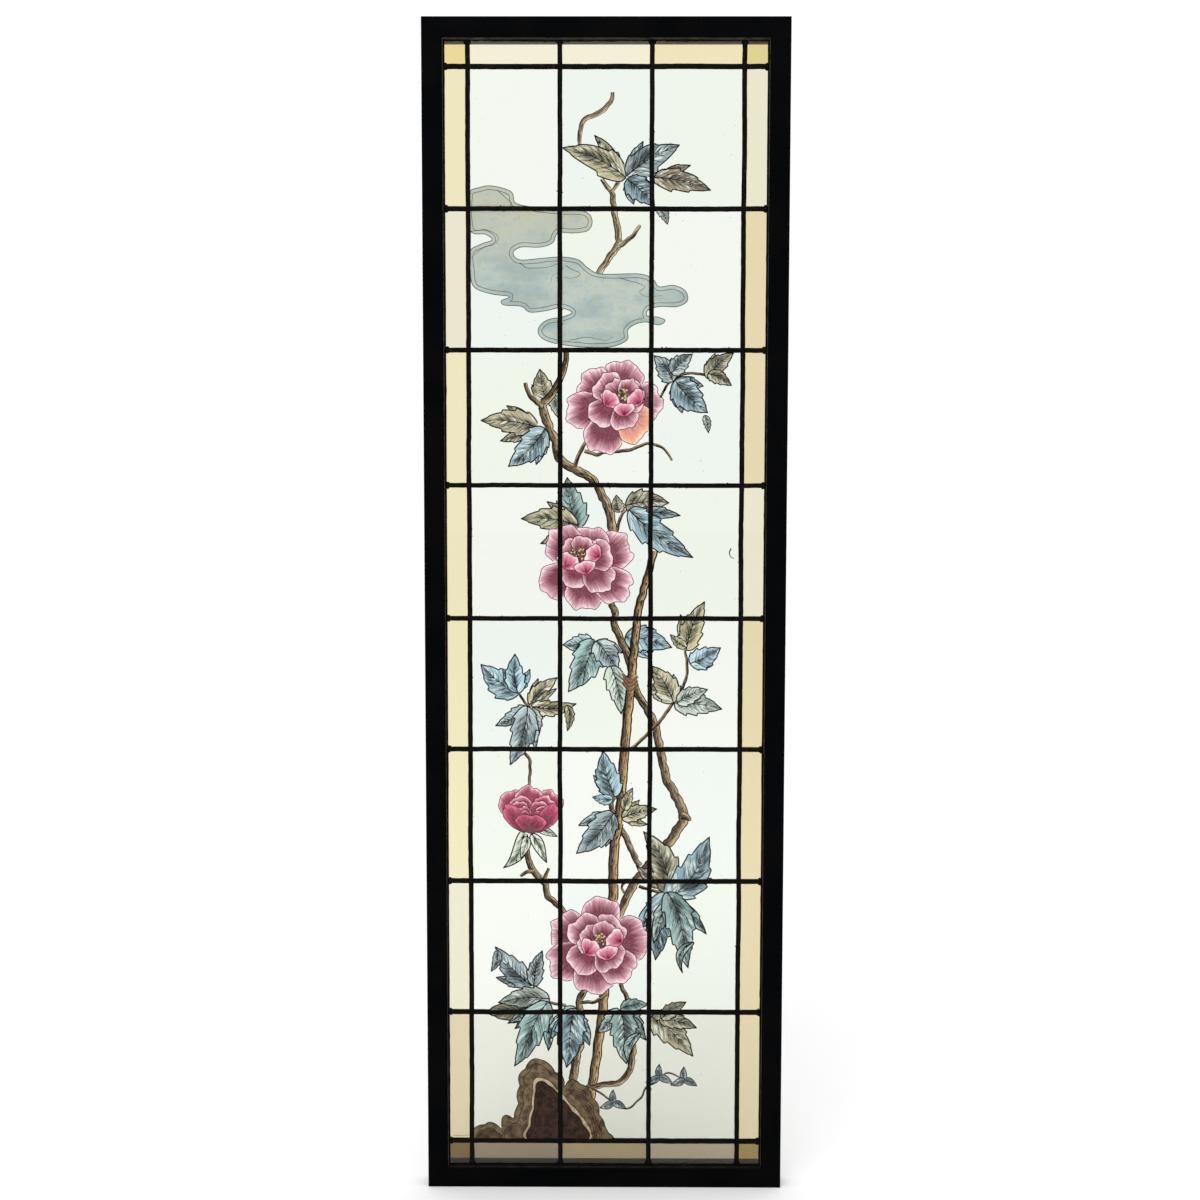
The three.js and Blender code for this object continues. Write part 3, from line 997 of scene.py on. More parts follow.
def paint_second_bloom():
    """The pair of leaves above the second bloom, the twig to its right, and the bloom."""
    leaf((1.2, 3.32), (1.08, 2.94), "teal", 14, 0.56, 1)
    leaf((1.2, 3.3), (.57, 3.25), "olive", 15, 0.42, 2, -0.06)
    branch([(1.6, 3.4), (1.64, 3.3), (1.69, 3.21), (1.78, 3.17)], (4, 4, 3.5), 31)
    leaf((1.66, 3.2), (1.62, 3.07), "olive", 16, 0.7)
    leaf((1.72, 3.15), (2.2, 3.13), "olive", 161, 0.55, 2, 0.06)
    leaf((1.76, 3.18), (2.47, 3.54), "blue", 17, 0.34, 1, -0.05)
    branch([(1.54, 3.85), (1.61, 3.96), (1.6, 4.05), (1.66, 4.14), (1.74, 4.27), (1.81, 4.43), (1.86, 4.57),
            (1.97, 4.69), (2.05, 4.8), (2.09, 4.93), (2.14, 5.08), (2.2, 5.24), (2.31, 5.37), (2.38, 5.51),
            (2.3, 5.63), (2.11, 5.79), (1.95, 5.91), (1.84, 6.01), (1.74, 6.13), (1.66, 6.27)],
           (8.5, 9.5, 10, 10.5, 11, 11.5, 13.5, 13, 12, 10.5), 32)
    branch([(2.36, 5.5), (2.41, 5.51), (2.45, 5.53)], (11, 9, 5), 33)


def paint_cane_rows():
    """The straight cane with its tie, and the leaves and twigs beside it."""
    branch([(1.8, 4.99), (1.93, 4.91), (2.1, 4.79), (2.25, 4.65), (2.35, 4.54), (2.41, 4.4), (2.39, 4.26),
            (2.36, 4.2)], (4, 4, 4.2, 4, 3.5, 3), 41)
    leaf((1.72, 4.14), (2.24, 4.22), "blue", 20, 0.52, 2)
    leaf((1.36, 4.17), (1.03, 4.2), "slate", 18, 0.6)
    leaf((1.38, 4.16), (1.09, 4.56), "teal", 181, 0.5, 1, 0.06)
    leaf((1.4, 4.17), (1.64, 4.42), "slate", 182, 0.6, 1)
    leaf((1.56, 4.36), (1.68, 4.73), "grey_green", 19, 0.42, 1)
    leaf((2.4, 4.24), (2.6, 3.87), "olive", 21, 0.42, 1)
    leaf((2.4, 4.22), (2.22, 4.12), "olive", 211, 0.45)
    leaf((2.44, 4.34), (2.78, 4.22), "blue", 22, 0.62, 1, flip=True)
    leaf((2.26, 4.64), (2.02, 4.36), "olive", 23, 0.56, 2, -0.05)
    leaf((2.27, 4.65), (2.8, 4.69), "grey_green", 24, 0.46, 1)
    leaf((2.3, 4.64), (2.64, 4.54), "grey_green", 241, 0.5)
    branch([(1.63, 5.35), (1.57, 5.4), (1.59, 5.49), (1.66, 5.58), (1.74, 5.67), (1.82, 5.8), (1.89, 5.88)],
           (5, 6.5, 7.5, 8, 8, 8, 7), 42)
    cane = [(2.04, 3.49), (1.95, 3.73), (1.86, 3.98), (1.79, 4.48), (1.72, 4.98), (1.66, 5.53), (1.62, 5.65),
            (1.6, 5.8), (1.59, 6.14), (1.54, 6.5), (1.49, 6.89), (1.45, 7.15), (1.38, 7.48), (1.34, 7.72)]
    branch(cane, (8.5, 10, 11.5, 12.5, 13, 13, 12.5, 12.5, 12), 43, (206, 168, 114), (58, 39, 26),
           ink_width=2.1, knots=0.08, dashes=0.8)
    for lift in (-0.02, 0.012, 0.045):
        branch([(1.69, 4.44 + lift), (1.77, 4.5 + lift), (1.86, 4.46 + lift)], (3.4, 4.4, 3.4), 44,
               (142, 96, 66), (74, 44, 28), ink_width=0.8, knots=0.05, dashes=0.2)
    leaf((1.61, 5.36), (1.48, 5.01), "blue", 28, 0.5, 1)
    leaf((1.59, 5.38), (1.36, 5.36), "blue", 281, 0.5)
    leaf((1.6, 5.48), (1.18, 5.79), "slate", 29, 0.48, 2)
    leaf((1.69, 5.52), (2.08, 5.45), "olive", 30, 0.44, 2)
    leaf((1.72, 5.46), (1.81, 5.29), "olive", 301, 0.45)


def paint_left_sprig():
    """The sprig at the left that carries the bud."""
    branch([(.54, 4.56), (.61, 4.65), (.67, 4.67)], (2.6, 3.2, 3.4), 51)
    branch([(.55, 4.66), (.56, 4.8), (.59, 4.97), (.61, 5.03), (.66, 5.1), (.65, 5.28)],
           (2.6, 3.2, 4.2, 4, 3.6), 52)
    branch([(.62, 5.72), (.65, 5.85), (.71, 5.93), (.82, 6.01), (.86, 6.12), (.96, 6.17), (1.06, 6.25)],
           (5.5, 7.5, 9, 9, 8.5, 8, 7), 53)
    branch([(.55, 5.96), (.63, 5.93), (.71, 5.93)], (3, 5, 6), 54)
    branch([(.87, 5.9), (.84, 5.96), (.81, 6.02)], (3.5, 5, 6), 55)
    leaf((.54, 4.58), (.12, 4.35), "blue", 25, 0.56)
    leaf((.53, 4.57), (.5, 4.27), "blue", 251, 0.5, 2)
    leaf((.66, 4.66), (.97, 4.45), "olive", 26, 0.42, 1)
    leaf((.68, 4.67), (1.18, 4.65), "olive", 261, 0.34, 1, -0.08)
    leaf((1.08, 4.66), (1.08, 4.86), "olive", 262, 0.34, bend=0.1)
    leaf((.63, 4.68), (.28, 4.82), "slate", 27, 0.42)
    leaf((.66, 4.68), (.74, 4.92), "grey_green", 271, 0.5)
    leaf((.64, 4.67), (.44, 5.12), "slate", 272, 0.4, 1, 0.06)
    for start, tip, seed, width, curl in (((.6, 5.62), (.36, 5.9), 61, 0.34, -0.12),
                                          ((.63, 5.66), (.56, 5.83), 62, 0.4, 0.1),
                                          ((.68, 5.64), (.85, 5.86), 63, 0.34, 0.12),
                                          ((.74, 5.6), (.97, 5.66), 64, 0.36, 0.1)):
        leaf(start, tip, "pale", seed, width, bend=0.08, curl=curl, teeth=0)
    bud(spot(.665, 5.46), 35, 64)


def paint_right_sprig():
    """Large drooping leaves at the right of rows 6 and 7."""
    branch([(1.88, 6.04), (2.01, 6.06), (2.15, 6.09), (2.25, 6.07)], (4, 4, 4, 3.4), 71)
    branch([(1.89, 5.99), (1.78, 5.99), (1.72, 6.01), (1.69, 6.05), (1.72, 6.09)], (4, 3.6, 3.2, 2.6), 72)
    leaf((2.22, 6.08), (1.93, 5.62), "olive", 31, 0.42, 1, -0.10)
    leaf((2.2, 6.12), (2.67, 5.66), "blue", 32, 0.44, 1, 0.2, flip=True, curl=0.2)
    leaf((2.17, 6.08), (2.07, 6.6), "blue", 33, 0.4, 2, -0.06, curl=-0.1)
    leaf((2.2, 6.08), (2.44, 6.66), "teal", 34, 0.34, 2, 0.14, curl=0.2)
    leaf((2.5, 6.46), (2.38, 6.7), "teal", 341, 0.26, bend=-0.25, teeth=0)


def paint_foot_leaves():
    """Leaves round the third bloom's foot, in rows 7 and 8."""
    branch([(.71, 6.8), (.72, 6.86), (.86, 6.92), (1.06, 6.95)], (3, 3.6, 4), 81)
    leaf((.86, 6.92), (.14, 7.0), "brown", 36, 0.42, 1)
    leaf((.68, 6.80), (.27, 6.5), "slate", 35, 0.42, 1)
    leaf((.7, 6.8), (.8, 6.53), "slate", 351, 0.42)
    leaf((.3, 6.53), (.22, 6.69), "slate", 352, 0.4, bend=0.1)
    leaf((.88, 6.9), (.3, 6.93), "grey_green", 37, 0.42, 1, -0.06)
    leaf((.86, 6.92), (.48, 7.42), "teal", 38, 0.36, 2, -0.1, curl=-0.2)
    branch([(1.36, 6.7), (1.32, 6.77), (1.25, 6.86), (1.21, 6.95), (1.27, 7.15), (1.19, 7.33), (1.14, 7.56)],
           (8, 9, 10, 10.5, 11.5, 12), 82)
    branch([(1.22, 6.93), (1.38, 6.92), (1.52, 6.86)], (4.5, 4.5, 4), 83)
    branch([(1.63, 6.68), (1.7, 6.82), (1.77, 6.92), (1.82, 7.14), (1.81, 7.37), (1.75, 7.49), (1.64, 7.55),
            (1.44, 7.57), (1.29, 7.6)], (4, 5.5, 7.5, 9, 9, 8, 7), 84)
    leaf((1.18, 6.97), (.86, 7.13), "slate", 39, 0.5)
    leaf((1.16, 6.97), (1.07, 7.43), "blue", 391, 0.46, 2, -0.08, curl=-0.16)
    leaf((1.67, 6.98), (1.42, 7.16), "teal", 40, 0.5)
    leaf((1.68, 6.98), (1.95, 7.21), "teal", 401, 0.5)
    leaf((1.68, 6.98), (1.75, 7.4), "teal", 402, 0.46, 1, 0.1, curl=0.2)
    leaf((1.68, 6.97), (1.99, 6.94), "teal", 41, 0.5)
    leaf((1.9, 7.16), (1.78, 7.4), "teal", 403, 0.3, bend=-0.2, teeth=0)
    leaf((2.02, 7.03), (2.5, 7.34), "olive", 42, 0.42, 1)
    leaf((2.12, 7.05), (2.54, 7.12), "olive", 421, 0.4)
    leaf((2.14, 7.05), (2.42, 6.92), "olive", 422, 0.46)


def paint_rock():
    """The layered rock at the foot, with a small creeper trailing to the right."""
    rock([(.02, 7.99), (.06, 7.91), (.19, 7.87), (.33, 7.91), (.38, 7.82), (.49, 7.82), (.53, 7.7),
          (.57, 7.48), (.74, 7.37), (.86, 7.42), (.99, 7.5), (1.05, 7.58), (1.13, 7.54), (1.25, 7.57),
          (1.38, 7.69), (1.48, 7.88), (1.54, 7.995), (.8, 8.0)], (124, 106, 78), (58, 46, 32),
         scallop=3.8, seed=3, width=1.2, inset=8.0)
    rock([(.06, 7.99), (.1, 7.93), (.2, 7.91), (.3, 7.95), (.36, 7.99)], (96, 78, 58), (48, 36, 26),
         scallop=1.0, seed=5, inset=3.0)
    rock([(.36, 7.99), (.4, 7.9), (.5, 7.87), (.58, 7.91), (.6, 7.99)], (110, 92, 70), (56, 42, 30),
         scallop=1.2, seed=4, inset=3.0)
    rock([(1.4, 7.99), (1.37, 7.86), (1.3, 7.76), (1.2, 7.67), (1.12, 7.62), (1.2, 7.61), (1.3, 7.7),
          (1.41, 7.85), (1.47, 7.99)], (112, 88, 64), (60, 42, 30), scallop=1.2, seed=8, inset=3.0)
    rock([(.64, 7.99), (.645, 7.85), (.685, 7.7), (.7, 7.56), (.75, 7.51), (.85, 7.53), (1.0, 7.625),
          (1.14, 7.735), (1.27, 7.84), (1.315, 7.99)], (196, 178, 150), (150, 128, 98), scallop=1.6, seed=7)
    rock([(.67, 7.99), (.675, 7.86), (.715, 7.71), (.73, 7.58), (.77, 7.545), (.84, 7.555), (.98, 7.645),
          (1.12, 7.76), (1.245, 7.86), (1.285, 7.99)], (64, 40, 28), (20, 11, 8), scallop=1.6, seed=7,
         width=1.2, inset=6.0)
    branch([(1.3, 7.56), (1.41, 7.61), (1.58, 7.69), (1.68, 7.74), (1.79, 7.74), (1.91, 7.66), (1.98, 7.58),
            (2.08, 7.54), (2.21, 7.47), (2.33, 7.5), (2.39, 7.52)], (3, 2.6, 2.6, 2.4, 2), 91,
           (128, 118, 96), (70, 64, 52), "leaf_ink", 0.7)
    for place, seed in (((1.6, 7.7), 92), ((2.12, 7.5), 93), ((2.4, 7.52), 94)):
        for angle in (90, 205, 330):
            way = toward(math.radians(angle)) * (.17, -.1)
            leaf(place, (place[0] + way[0], place[1] + way[1]), "dusk", seed + angle, 0.5, teeth=0)


def arrange_painting():
    """Every painted area, back to front."""
    paint_cloud_rows()
    paint_first_bloom()
    paint_second_bloom()
    paint_cane_rows()
    bloom(spot(1.31, 3.63), 76, 62, spot(1.22, 3.52), 14, 302)
    paint_left_sprig()
    paint_foot_leaves()
    paint_right_sprig()
    bloom(spot(1.39, 6.5), 76, 70, spot(1.46, 6.45), 16, 303)
    paint_rock()


# ---- Painting: meshes ----

GRID_STEP = 5.0  # millimetres between the extra points inside the painted areas
HIDDEN_EDGE = 1.0  # millimetres of each pane's paint under the came
SEEDS_PER_PANE = 6
CRUMBS_PER_PANE = 9


def pane_windows():
    """Visible rectangles of the clear panes, in millimetres: low x, low z, high x, high z."""
    reach = CAME_LEAF / 2 / MM - HIDDEN_EDGE
    windows = []
    for row in range(MAIN_ROWS):
        for column in range(MAIN_COLUMNS):
            left, right = COLUMN_LINES[column] / MM, COLUMN_LINES[column + 1] / MM
            top, bottom = ROW_LINES[row] / MM, ROW_LINES[row + 1] / MM
            windows.append((left + reach, bottom + reach, right - reach, top - reach))
    return windows


def in_windows(points, windows):
    keep = np.zeros(len(points), bool)
    for x0, z0, x1, z1 in windows:
        keep |= (points[:, 0] > x0) & (points[:, 0] < x1) & (points[:, 1] > z0) & (points[:, 1] < z1)
    return keep


def cut_areas(windows):
    """All outlines and panes cut into triangles; each triangle keeps the foremost area that covers it."""
    verts, faces = [], []

    def take(outline):
        if signed_area(outline) < 0:
            outline = outline[::-1]
        faces.append(list(range(len(verts), len(verts) + len(outline))))
        verts.extend(outline.tolist())

    for area in AREAS:
        take(area.outline)
    for x0, z0, x1, z1 in windows:
        take(np.array(((x0, z0), (x1, z0), (x1, z1), (x0, z1))))
    low, high = np.array(verts).min(axis=0), np.array(verts).max(axis=0)
    columns = np.arange(low[0], high[0], GRID_STEP)
    rows = np.arange(low[1], high[1], GRID_STEP)
    grid = np.stack(np.meshgrid(columns, rows), -1).reshape(-1, 2) + GRID_STEP * 0.31
    covered = np.zeros(len(grid), bool)
    for area in AREAS:
        a, b = area.outline.min(axis=0), area.outline.max(axis=0)
        near = np.flatnonzero(((grid > a) & (grid < b)).all(axis=1) & ~covered)
        if len(near):
            covered[near[inside(grid[near], area.outline)]] = True
    verts.extend(grid[covered].tolist())
    cut = delaunay_2d_cdt([Vector(v) for v in verts], [], faces, 1, 1e-4)
    points = np.array([tuple(v) for v in cut[0]])
    triangles, owners = [], []
    for face, sources in zip(cut[2], cut[5]):
        areas = [s for s in sources if s < len(AREAS)]
        if areas and max(sources) >= len(AREAS):
            triangles.append(face)
            owners.append(max(areas))
    return points, np.array(triangles), np.array(owners)


def fold_map(points):
    """A map for baking: the tall picture folded into four strips, two beside two."""
    left, right = COLUMN_LINES[0] / MM, COLUMN_LINES[-1] / MM
    strips = [(ROW_LINES[2 * k] / MM, ROW_LINES[2 * k + 2] / MM) for k in range(4)]
    tall = max(top - bottom for top, bottom in strips)
    share, rim = 0.49, 0.005
    out = np.zeros_like(points)
    middle = points.reshape(-1, 3, 2).mean(axis=1)[:, 1].repeat(3)
    for k, (top, bottom) in enumerate(strips):
        here = (middle <= top) & (middle > bottom)
        out[here, 0] = 0.5 * (k % 2) + share * (points[here, 0] - left) / (right - left) + rim
        out[here, 1] = 0.5 * (k // 2) + share * (points[here, 1] - bottom) / tall + rim
    return out


def build_film(materials):
    """The coloured areas as one thin film on the glass."""
    windows = pane_windows()
    points, triangles, owners = cut_areas(windows)
    corners = points[triangles.reshape(-1)]
    shade = np.zeros((len(corners), 2))
    light = np.ones((len(corners), 4))
    deep = np.ones((len(corners), 4))
    owner_of_corner = owners.repeat(3)
    for index, area in enumerate(AREAS):
        mine = owner_of_corner == index
        if mine.any():
            shade[mine] = area.shading(corners[mine])
            light[mine, :3] = linear(*area.light)
            deep[mine, :3] = linear(*area.deep)
    y = GLASS_FRONT - FILM_GAP
    verts = np.column_stack((points[:, 0] * MM, np.full(len(points), y), points[:, 1] * MM))
    film = new_mesh("painted_picture", verts, triangles)
    mesh = film.data
    mesh.uv_layers.new(name="Shade").data.foreach_set("uv", shade.ravel())
    mesh.uv_layers.new(name="OFBake").data.foreach_set("uv", fold_map(corners).ravel())
    for name, values in (("Light", light), ("Deep", deep)):
        mesh.color_attributes.new(name, "FLOAT_COLOR", "CORNER").data.foreach_set("color", values.ravel())
    for material in materials.values():
        mesh.materials.append(material)
    kinds = list(materials)
    mesh.polygons.foreach_set("material_index", [kinds.index(AREAS[i].kind) for i in owners])
    mesh.update()
    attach(film, "root")


def visible_samples(line, index, windows):
    """Which samples of a line on area number index are not covered by a later area or a came."""
    keep = in_windows(line, windows)
    low, high = line.min(axis=0), line.max(axis=0)
    for area in AREAS[index + 1:]:
        a, b = area.outline.min(axis=0), area.outline.max(axis=0)
        if (a < high).all() and (b > low).all():
            keep &= ~inside(line, area.outline)
    return keep


def ribbon(line, start, end, y):
    """A flat tapered line in the panel's plane."""
    line = np.asarray(line)
    along = np.linspace(0, 1, len(line))
    full = np.interp(along, (0, 1), (start, end))
    left = normals_of(line) * (full / 2)[:, None]
    both = np.stack((line + left, line - left), axis=1).reshape(-1, 2)
    verts = np.column_stack((both[:, 0] * MM, np.full(len(both), y), both[:, 1] * MM))
    faces = [(2 * i, 2 * i + 1, 2 * i + 3, 2 * i + 2) for i in range(len(line) - 1)]
    return verts, faces


class TraceLines(Parts):
    """Flat dark lines in front of the painted film and behind it, so that both sides show them."""

    def __init__(self, tints):
        super().__init__()
        self.tints = tints
        self.slots = []

    def draw(self, line, tint, start, end):
        for y in (GLASS_FRONT - INK_GAP, GLASS_FRONT - FILM_GAP / 2):
            verts, faces = ribbon(line, start, end, y)
            self.take(verts, faces)
            self.slots.extend([self.tints.index(tint)] * len(faces))

    def crumb(self, x, z, size, tint, rng):
        half = toward(rng.uniform(0, math.tau)) * size * 0.5
        middle = np.array((x, z))
        self.draw(np.array((middle - half, middle, middle + half)), tint, size, size * 0.7)


def trace_areas(trace, windows):
    """The visible stretches of every area's own lines."""
    for index, area in enumerate(AREAS):
        for line, tint, start, end in area.lines:
            widths = np.linspace(start, end, len(line))
            for run in runs(visible_samples(line, index, windows)):
                if len(run) > 1:
                    trace.draw(line[run], tint, widths[run[0]], widths[run[-1]])


def scatter_crumbs(trace, windows):
    """Dark seeds in the clear panes, and crumbs of dirt along their cames."""
    rng = random.Random(77)
    for x0, z0, x1, z1 in windows:
        for k in range(SEEDS_PER_PANE):
            trace.crumb(rng.uniform(x0, x1), rng.uniform(z0, z1), rng.uniform(0.4, 1.1), "seed_ink", rng)
        for k in range(CRUMBS_PER_PANE):
            inward = rng.uniform(0.6, 2.2)
            if k % 2:
                place = (rng.choice((x0 + inward, x1 - inward)), rng.uniform(z0, z1))
            else:
                place = (rng.uniform(x0, x1), rng.choice((z0 + inward, z1 - inward)))
            trace.crumb(*place, rng.uniform(0.8, 2.1), "bark_ink", rng)


def trace_scratches(trace):
    """A thin line low in the left border, and a hooked scratch at the right of the fourth clear row."""
    low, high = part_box(pane_name(MAIN_ROWS, 0))
    level = ROW_LINES[-1] / MM + 7.5
    line = [(low[0] / MM + 9.5, level + 0.5), (low[0] / MM + 16, level), (high[0] / MM - 3, level + 0.8)]
    trace.draw(line, "bark_ink", 0.5, 0.35)
    hook = spots((2.89, 3.47), (2.87, 3.50), (2.885, 3.535), (2.925, 3.545))
    trace.draw(smooth(hook), "leaf_ink", 1.9, 0.9)


def build_ink(materials):
    """Every dark line and crumb as one piece."""
    windows = pane_windows()
    trace = TraceLines(list(materials))
    trace_areas(trace, windows)
    scatter_crumbs(trace, windows)
    trace_scratches(trace)
    ink = new_mesh("trace_lines", trace.verts, trace.faces)
    for material in materials.values():
        ink.data.materials.append(material)
    ink.data.polygons.foreach_set("material_index", trace.slots)
    ink.data.update()
    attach(ink, "root")


# ---- Painting: materials ----


BRUSH_MARK = 0.3 * MM  # depth of the enamel's brush marks


def film_nodes(name):
    """A fired enamel with its two tones and its shading coordinates."""
    m = Nodes(name, Specular_IOR_Level=0.15, Roughness=0.5)
    light = m.add("VertexColor", {"layer_name": "Light"}).outputs["Color"]
    deep = m.add("VertexColor", {"layer_name": "Deep"}).outputs["Color"]
    return m, light, deep, m.add("UVMap", {"uv_map": "Shade"}).outputs[0]


def stipple(m, scale, most):
    """Fine mottling of hand-dabbed enamel, from none to the most."""
    return m.band(m.noise(m.place(), scale, 4, 0.65), 0.3, 0.7, 0.0, most)


def petal_enamel():
    """Deep at the petal's foot, washed out in brush streaks to its pale rim."""
    m, light, deep, uv = film_nodes("petal_enamel")
    along, across = m.split(uv)[:2]
    streaks = m.streaks(m.times(along, 0.9), m.times(across, 9.0), 3, 0.65)
    spread = m.streaks(m.times(along, 0.8), m.times(across, 1.3), 2, 0.5)
    reach = m.plus(m.plus(along, m.swing(streaks, 0.8)), m.swing(spread, 0.55))
    wash = m.mix(0.60, light, deep)
    wash = m.add("HueSaturation", Color=wash, Saturation=1.5, Value=1.05).outputs["Color"]
    tone = m.mix(m.band(reach, 0.28, 0.78), deep, wash)
    tone = m.mix(m.band(reach, 0.68, 1.06), tone, light)
    m.base(m.mix(stipple(m, 900, 0.12), tone, linear(255, 240, 242)))
    m.bump(streaks, 0.25, BRUSH_MARK)
    return m.material


def leaf_enamel():
    """Light and dark streaks along the side veins, darker at the midrib and in one half."""
    m, light, deep, uv = film_nodes("leaf_enamel")
    along, across = m.split(uv)[:2]
    outwards = m.math("ABSOLUTE", across)
    vein = m.math("SUBTRACT", m.times(along, 11.0), m.times(outwards, 2.4))
    streaks = m.streaks(m.times(vein, 1.5), outwards, 3, 0.65)
    broad = m.streaks(m.times(along, 2.6), across, 2, 0.5)
    lit = m.plus(m.times(across, -0.34), m.swing(streaks, 2.6))
    lit = m.plus(lit, m.swing(broad, 2.2))
    lit = m.plus(lit, m.times(m.band(outwards, 0.0, 0.7), 0.45))
    tone = m.mix(m.band(lit, -0.60, 0.55), deep, light)
    gleam = m.times(m.band(streaks, 0.47, 0.61), m.band(broad, 0.42, 0.58))
    tone = m.mix(m.times(gleam, 0.85), tone, linear(216, 226, 218))
    shadow = m.times(m.band(outwards, 0.7, 0.02), m.band(broad, 0.60, 0.40))
    tone = m.mix(m.times(shadow, 0.68), tone, linear(28, 38, 40))
    m.base(m.mix(stipple(m, 600, 0.14), tone, linear(224, 228, 214)))
    m.bump(streaks, 0.25, BRUSH_MARK)
    return m.material


def bark_enamel():
    """Long fibres, darker down one side, with dark knots."""
    m, light, deep, uv = film_nodes("bark_enamel")
    along, across = m.split(uv)[:2]
    fibre = m.streaks(along, m.times(across, 2.6), 4, 0.7)
    lit = m.plus(across, m.swing(fibre, 3.4))
    tone = m.mix(m.band(lit, -0.65, 1.05), deep, light)
    knots = m.band(m.streaks(m.times(along, 0.5), across, 3), 0.56, 0.7, 0.0, 0.7)
    tone = m.mix(knots, tone, linear(62, 44, 32))
    m.base(m.mix(stipple(m, 700, 0.14), tone, linear(232, 212, 176)))
    m.bump(fibre, 0.25, BRUSH_MARK)
    return m.material


def stamen_enamel():
    m, light, deep, uv = film_nodes("stamen_enamel")
    m.base(m.mix(m.split(uv)[0], deep, light))
    m.bump(m.noise(m.place(), 900), 0.2, BRUSH_MARK)
    return m.material


def cloud_enamel():
    """Dabbed grey-blue with warmer and cooler blots, warmest towards the cloud's top."""
    m, light, deep, uv = film_nodes("cloud_enamel")
    along, across = m.split(uv)[:2]
    broad = m.noise(m.joined(m.times(along, 0.45), across), 2.6, 3, 0.6)
    dabs = m.noise(m.joined(m.times(along, 0.5), across), 34, 4, 0.7)
    blots = m.noise(uv, 8.5, 3, 0.6)
    tone = m.mix(m.band(m.plus(broad, m.swing(dabs, 0.35)), 0.34, 0.66), deep, light)
    warm = m.plus(m.times(m.band(across, 13.3, 14.5), 0.75), m.times(m.band(broad, 0.5, 0.62), 0.3), True)
    tone = m.mix(warm, tone, linear(180, 182, 164))
    tone = m.mix(m.band(blots, 0.54, 0.64, 0.0, 0.45), tone, linear(178, 176, 150))
    tone = m.mix(m.band(blots, 0.44, 0.36, 0.0, 0.35), tone, linear(148, 163, 160))
    m.base(m.mix(m.band(dabs, 0.5, 0.8, 0.0, 0.30), tone, linear(132, 142, 140)))
    m.bump(dabs, 0.25, BRUSH_MARK)
    return m.material


def rock_enamel():
    """Coarse mottling with grey grit."""
    m, light, deep, uv = film_nodes("rock_enamel")
    grit = m.noise(uv, 70, 4, 0.75)
    mixed = m.plus(m.noise(uv, 9, 4, 0.65), m.swing(grit, 0.9))
    tone = m.mix(m.band(mixed, 0.34, 0.66), deep, light)
    m.base(m.mix(m.band(grit, 0.52, 0.72, 0.0, 0.5), tone, linear(74, 76, 66)))
    m.bump(grit, 0.25, BRUSH_MARK)
    return m.material


def film_materials():
    return {"petal": petal_enamel(), "leaf": leaf_enamel(), "bark": bark_enamel(),
            "cloud": cloud_enamel(), "rock": rock_enamel(), "stamen": stamen_enamel()}


INK_TONES = {
    "plum_grey": (72, 38, 52), "plum": (136, 34, 70), "umber": (70, 58, 30), "leaf_ink": (20, 23, 24),
    "bark_ink": (34, 22, 16), "twig_ink": (62, 50, 34), "cloud_ink": (74, 82, 82),
    "seed_ink": (64, 62, 56)}


def ink_materials():
    made = {}
    for name, tone in INK_TONES.items():
        m = Nodes(name, Roughness=0.6, Specular_IOR_Level=0.1)
        m.base(linear(*tone))
        made[name] = m.material
    return made


# ---- Studio: camera, light and floor ----


SURROUND_STRENGTH = 1.02
SOFT_LIGHT_PLACE = Vector((-0.7, -2.2, 4.4))
SOFT_LIGHT_AIM = Vector((0, 0, 0.8))
SOFT_LIGHT_SIZE = 2.4
SOFT_LIGHT_WATTS = 40
FLOOR_REACH = 40.0


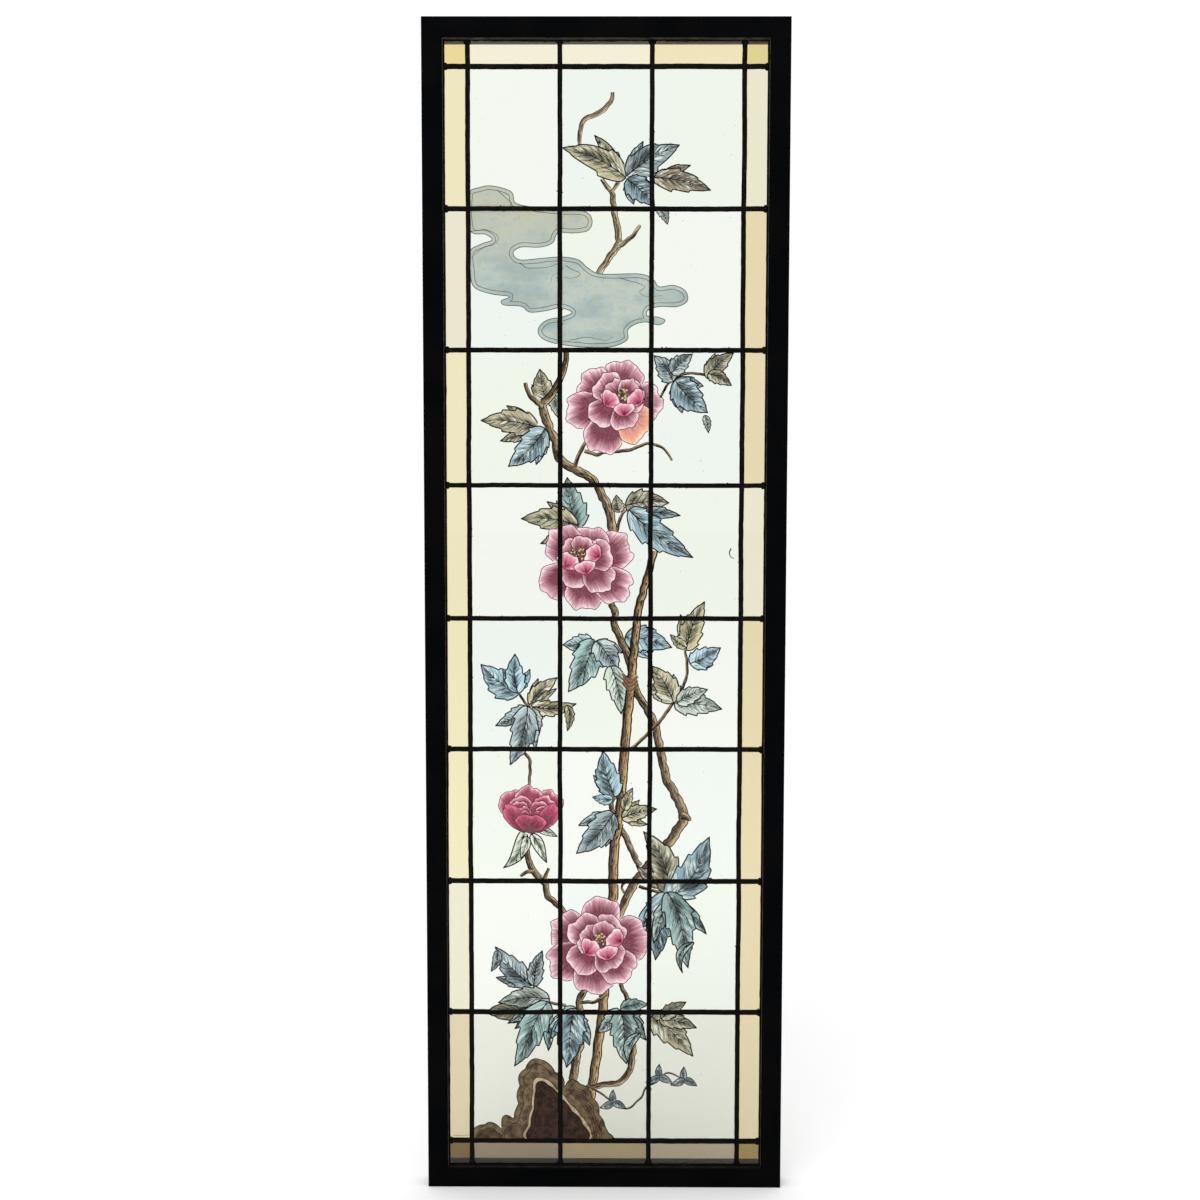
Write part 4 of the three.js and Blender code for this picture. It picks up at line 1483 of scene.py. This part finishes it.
def place_camera():
    data = bpy.data.cameras.new("photo_camera")
    data.lens = CAMERA_LENS_MM
    data.sensor_width = 36
    camera = bpy.data.objects.new("photo_camera", data)
    bpy.context.scene.collection.objects.link(camera)
    front = CAD_BOX[0][1]
    camera.location = (CAMERA_SIDE, front - CAMERA_DISTANCE, CAMERA_HEIGHT)
    look = Euler((math.radians(90 - CAMERA_PITCH), 0, math.radians(CAMERA_YAW))).to_quaternion()
    camera.rotation_mode = "QUATERNION"
    camera.rotation_quaternion = look @ Quaternion((0, 0, 1), math.radians(CAMERA_ROLL))
    bpy.context.scene.camera = camera


def light_studio():
    """An even white surround and one soft light high in front."""
    world = bpy.data.worlds.new("white_studio")
    world.use_nodes = True
    background = world.node_tree.nodes["Background"]
    background.inputs["Color"].default_value = (1, 1, 1, 1)
    background.inputs["Strength"].default_value = SURROUND_STRENGTH
    bpy.context.scene.world = world
    data = bpy.data.lights.new("soft_light", "AREA")
    data.shape = "DISK"
    data.size = SOFT_LIGHT_SIZE
    data.energy = SOFT_LIGHT_WATTS
    light = bpy.data.objects.new("soft_light", data)
    bpy.context.scene.collection.objects.link(light)
    light.location = SOFT_LIGHT_PLACE
    light.rotation_mode = "QUATERNION"
    light.rotation_quaternion = (SOFT_LIGHT_PLACE - SOFT_LIGHT_AIM).to_track_quat("Z", "Y")


def lay_floor():
    m = Nodes("pale_floor", Roughness=0.95, Specular_IOR_Level=0.0)
    m.base((0.985, 0.985, 0.985))
    corners = [(x * FLOOR_REACH, y * FLOOR_REACH, 0) for x, y in ((-1, -1), (1, -1), (1, 1), (-1, 1))]
    floor = new_mesh("studio_floor", corners, [(0, 1, 2, 3)])
    floor.data.materials.append(m.material)


# ---- Everything together ----

black = frame_paint()
bead = bead_paint()
for member in ("head", "sill", "jamb_left", "jamb_right"):
    dress("frame_" + member, black)
for member in ("head", "sill", "left", "right"):
    dress("bead_" + member, bead)
dress_glass()
build_lead(lead_patina())
arrange_painting()
build_film(film_materials())
build_ink(ink_materials())
place_camera()
light_studio()
lay_floor()
bpy.context.scene.view_settings.view_transform = "Standard"


def plain(box):
    return [[float(value) for value in corner] for corner in box]
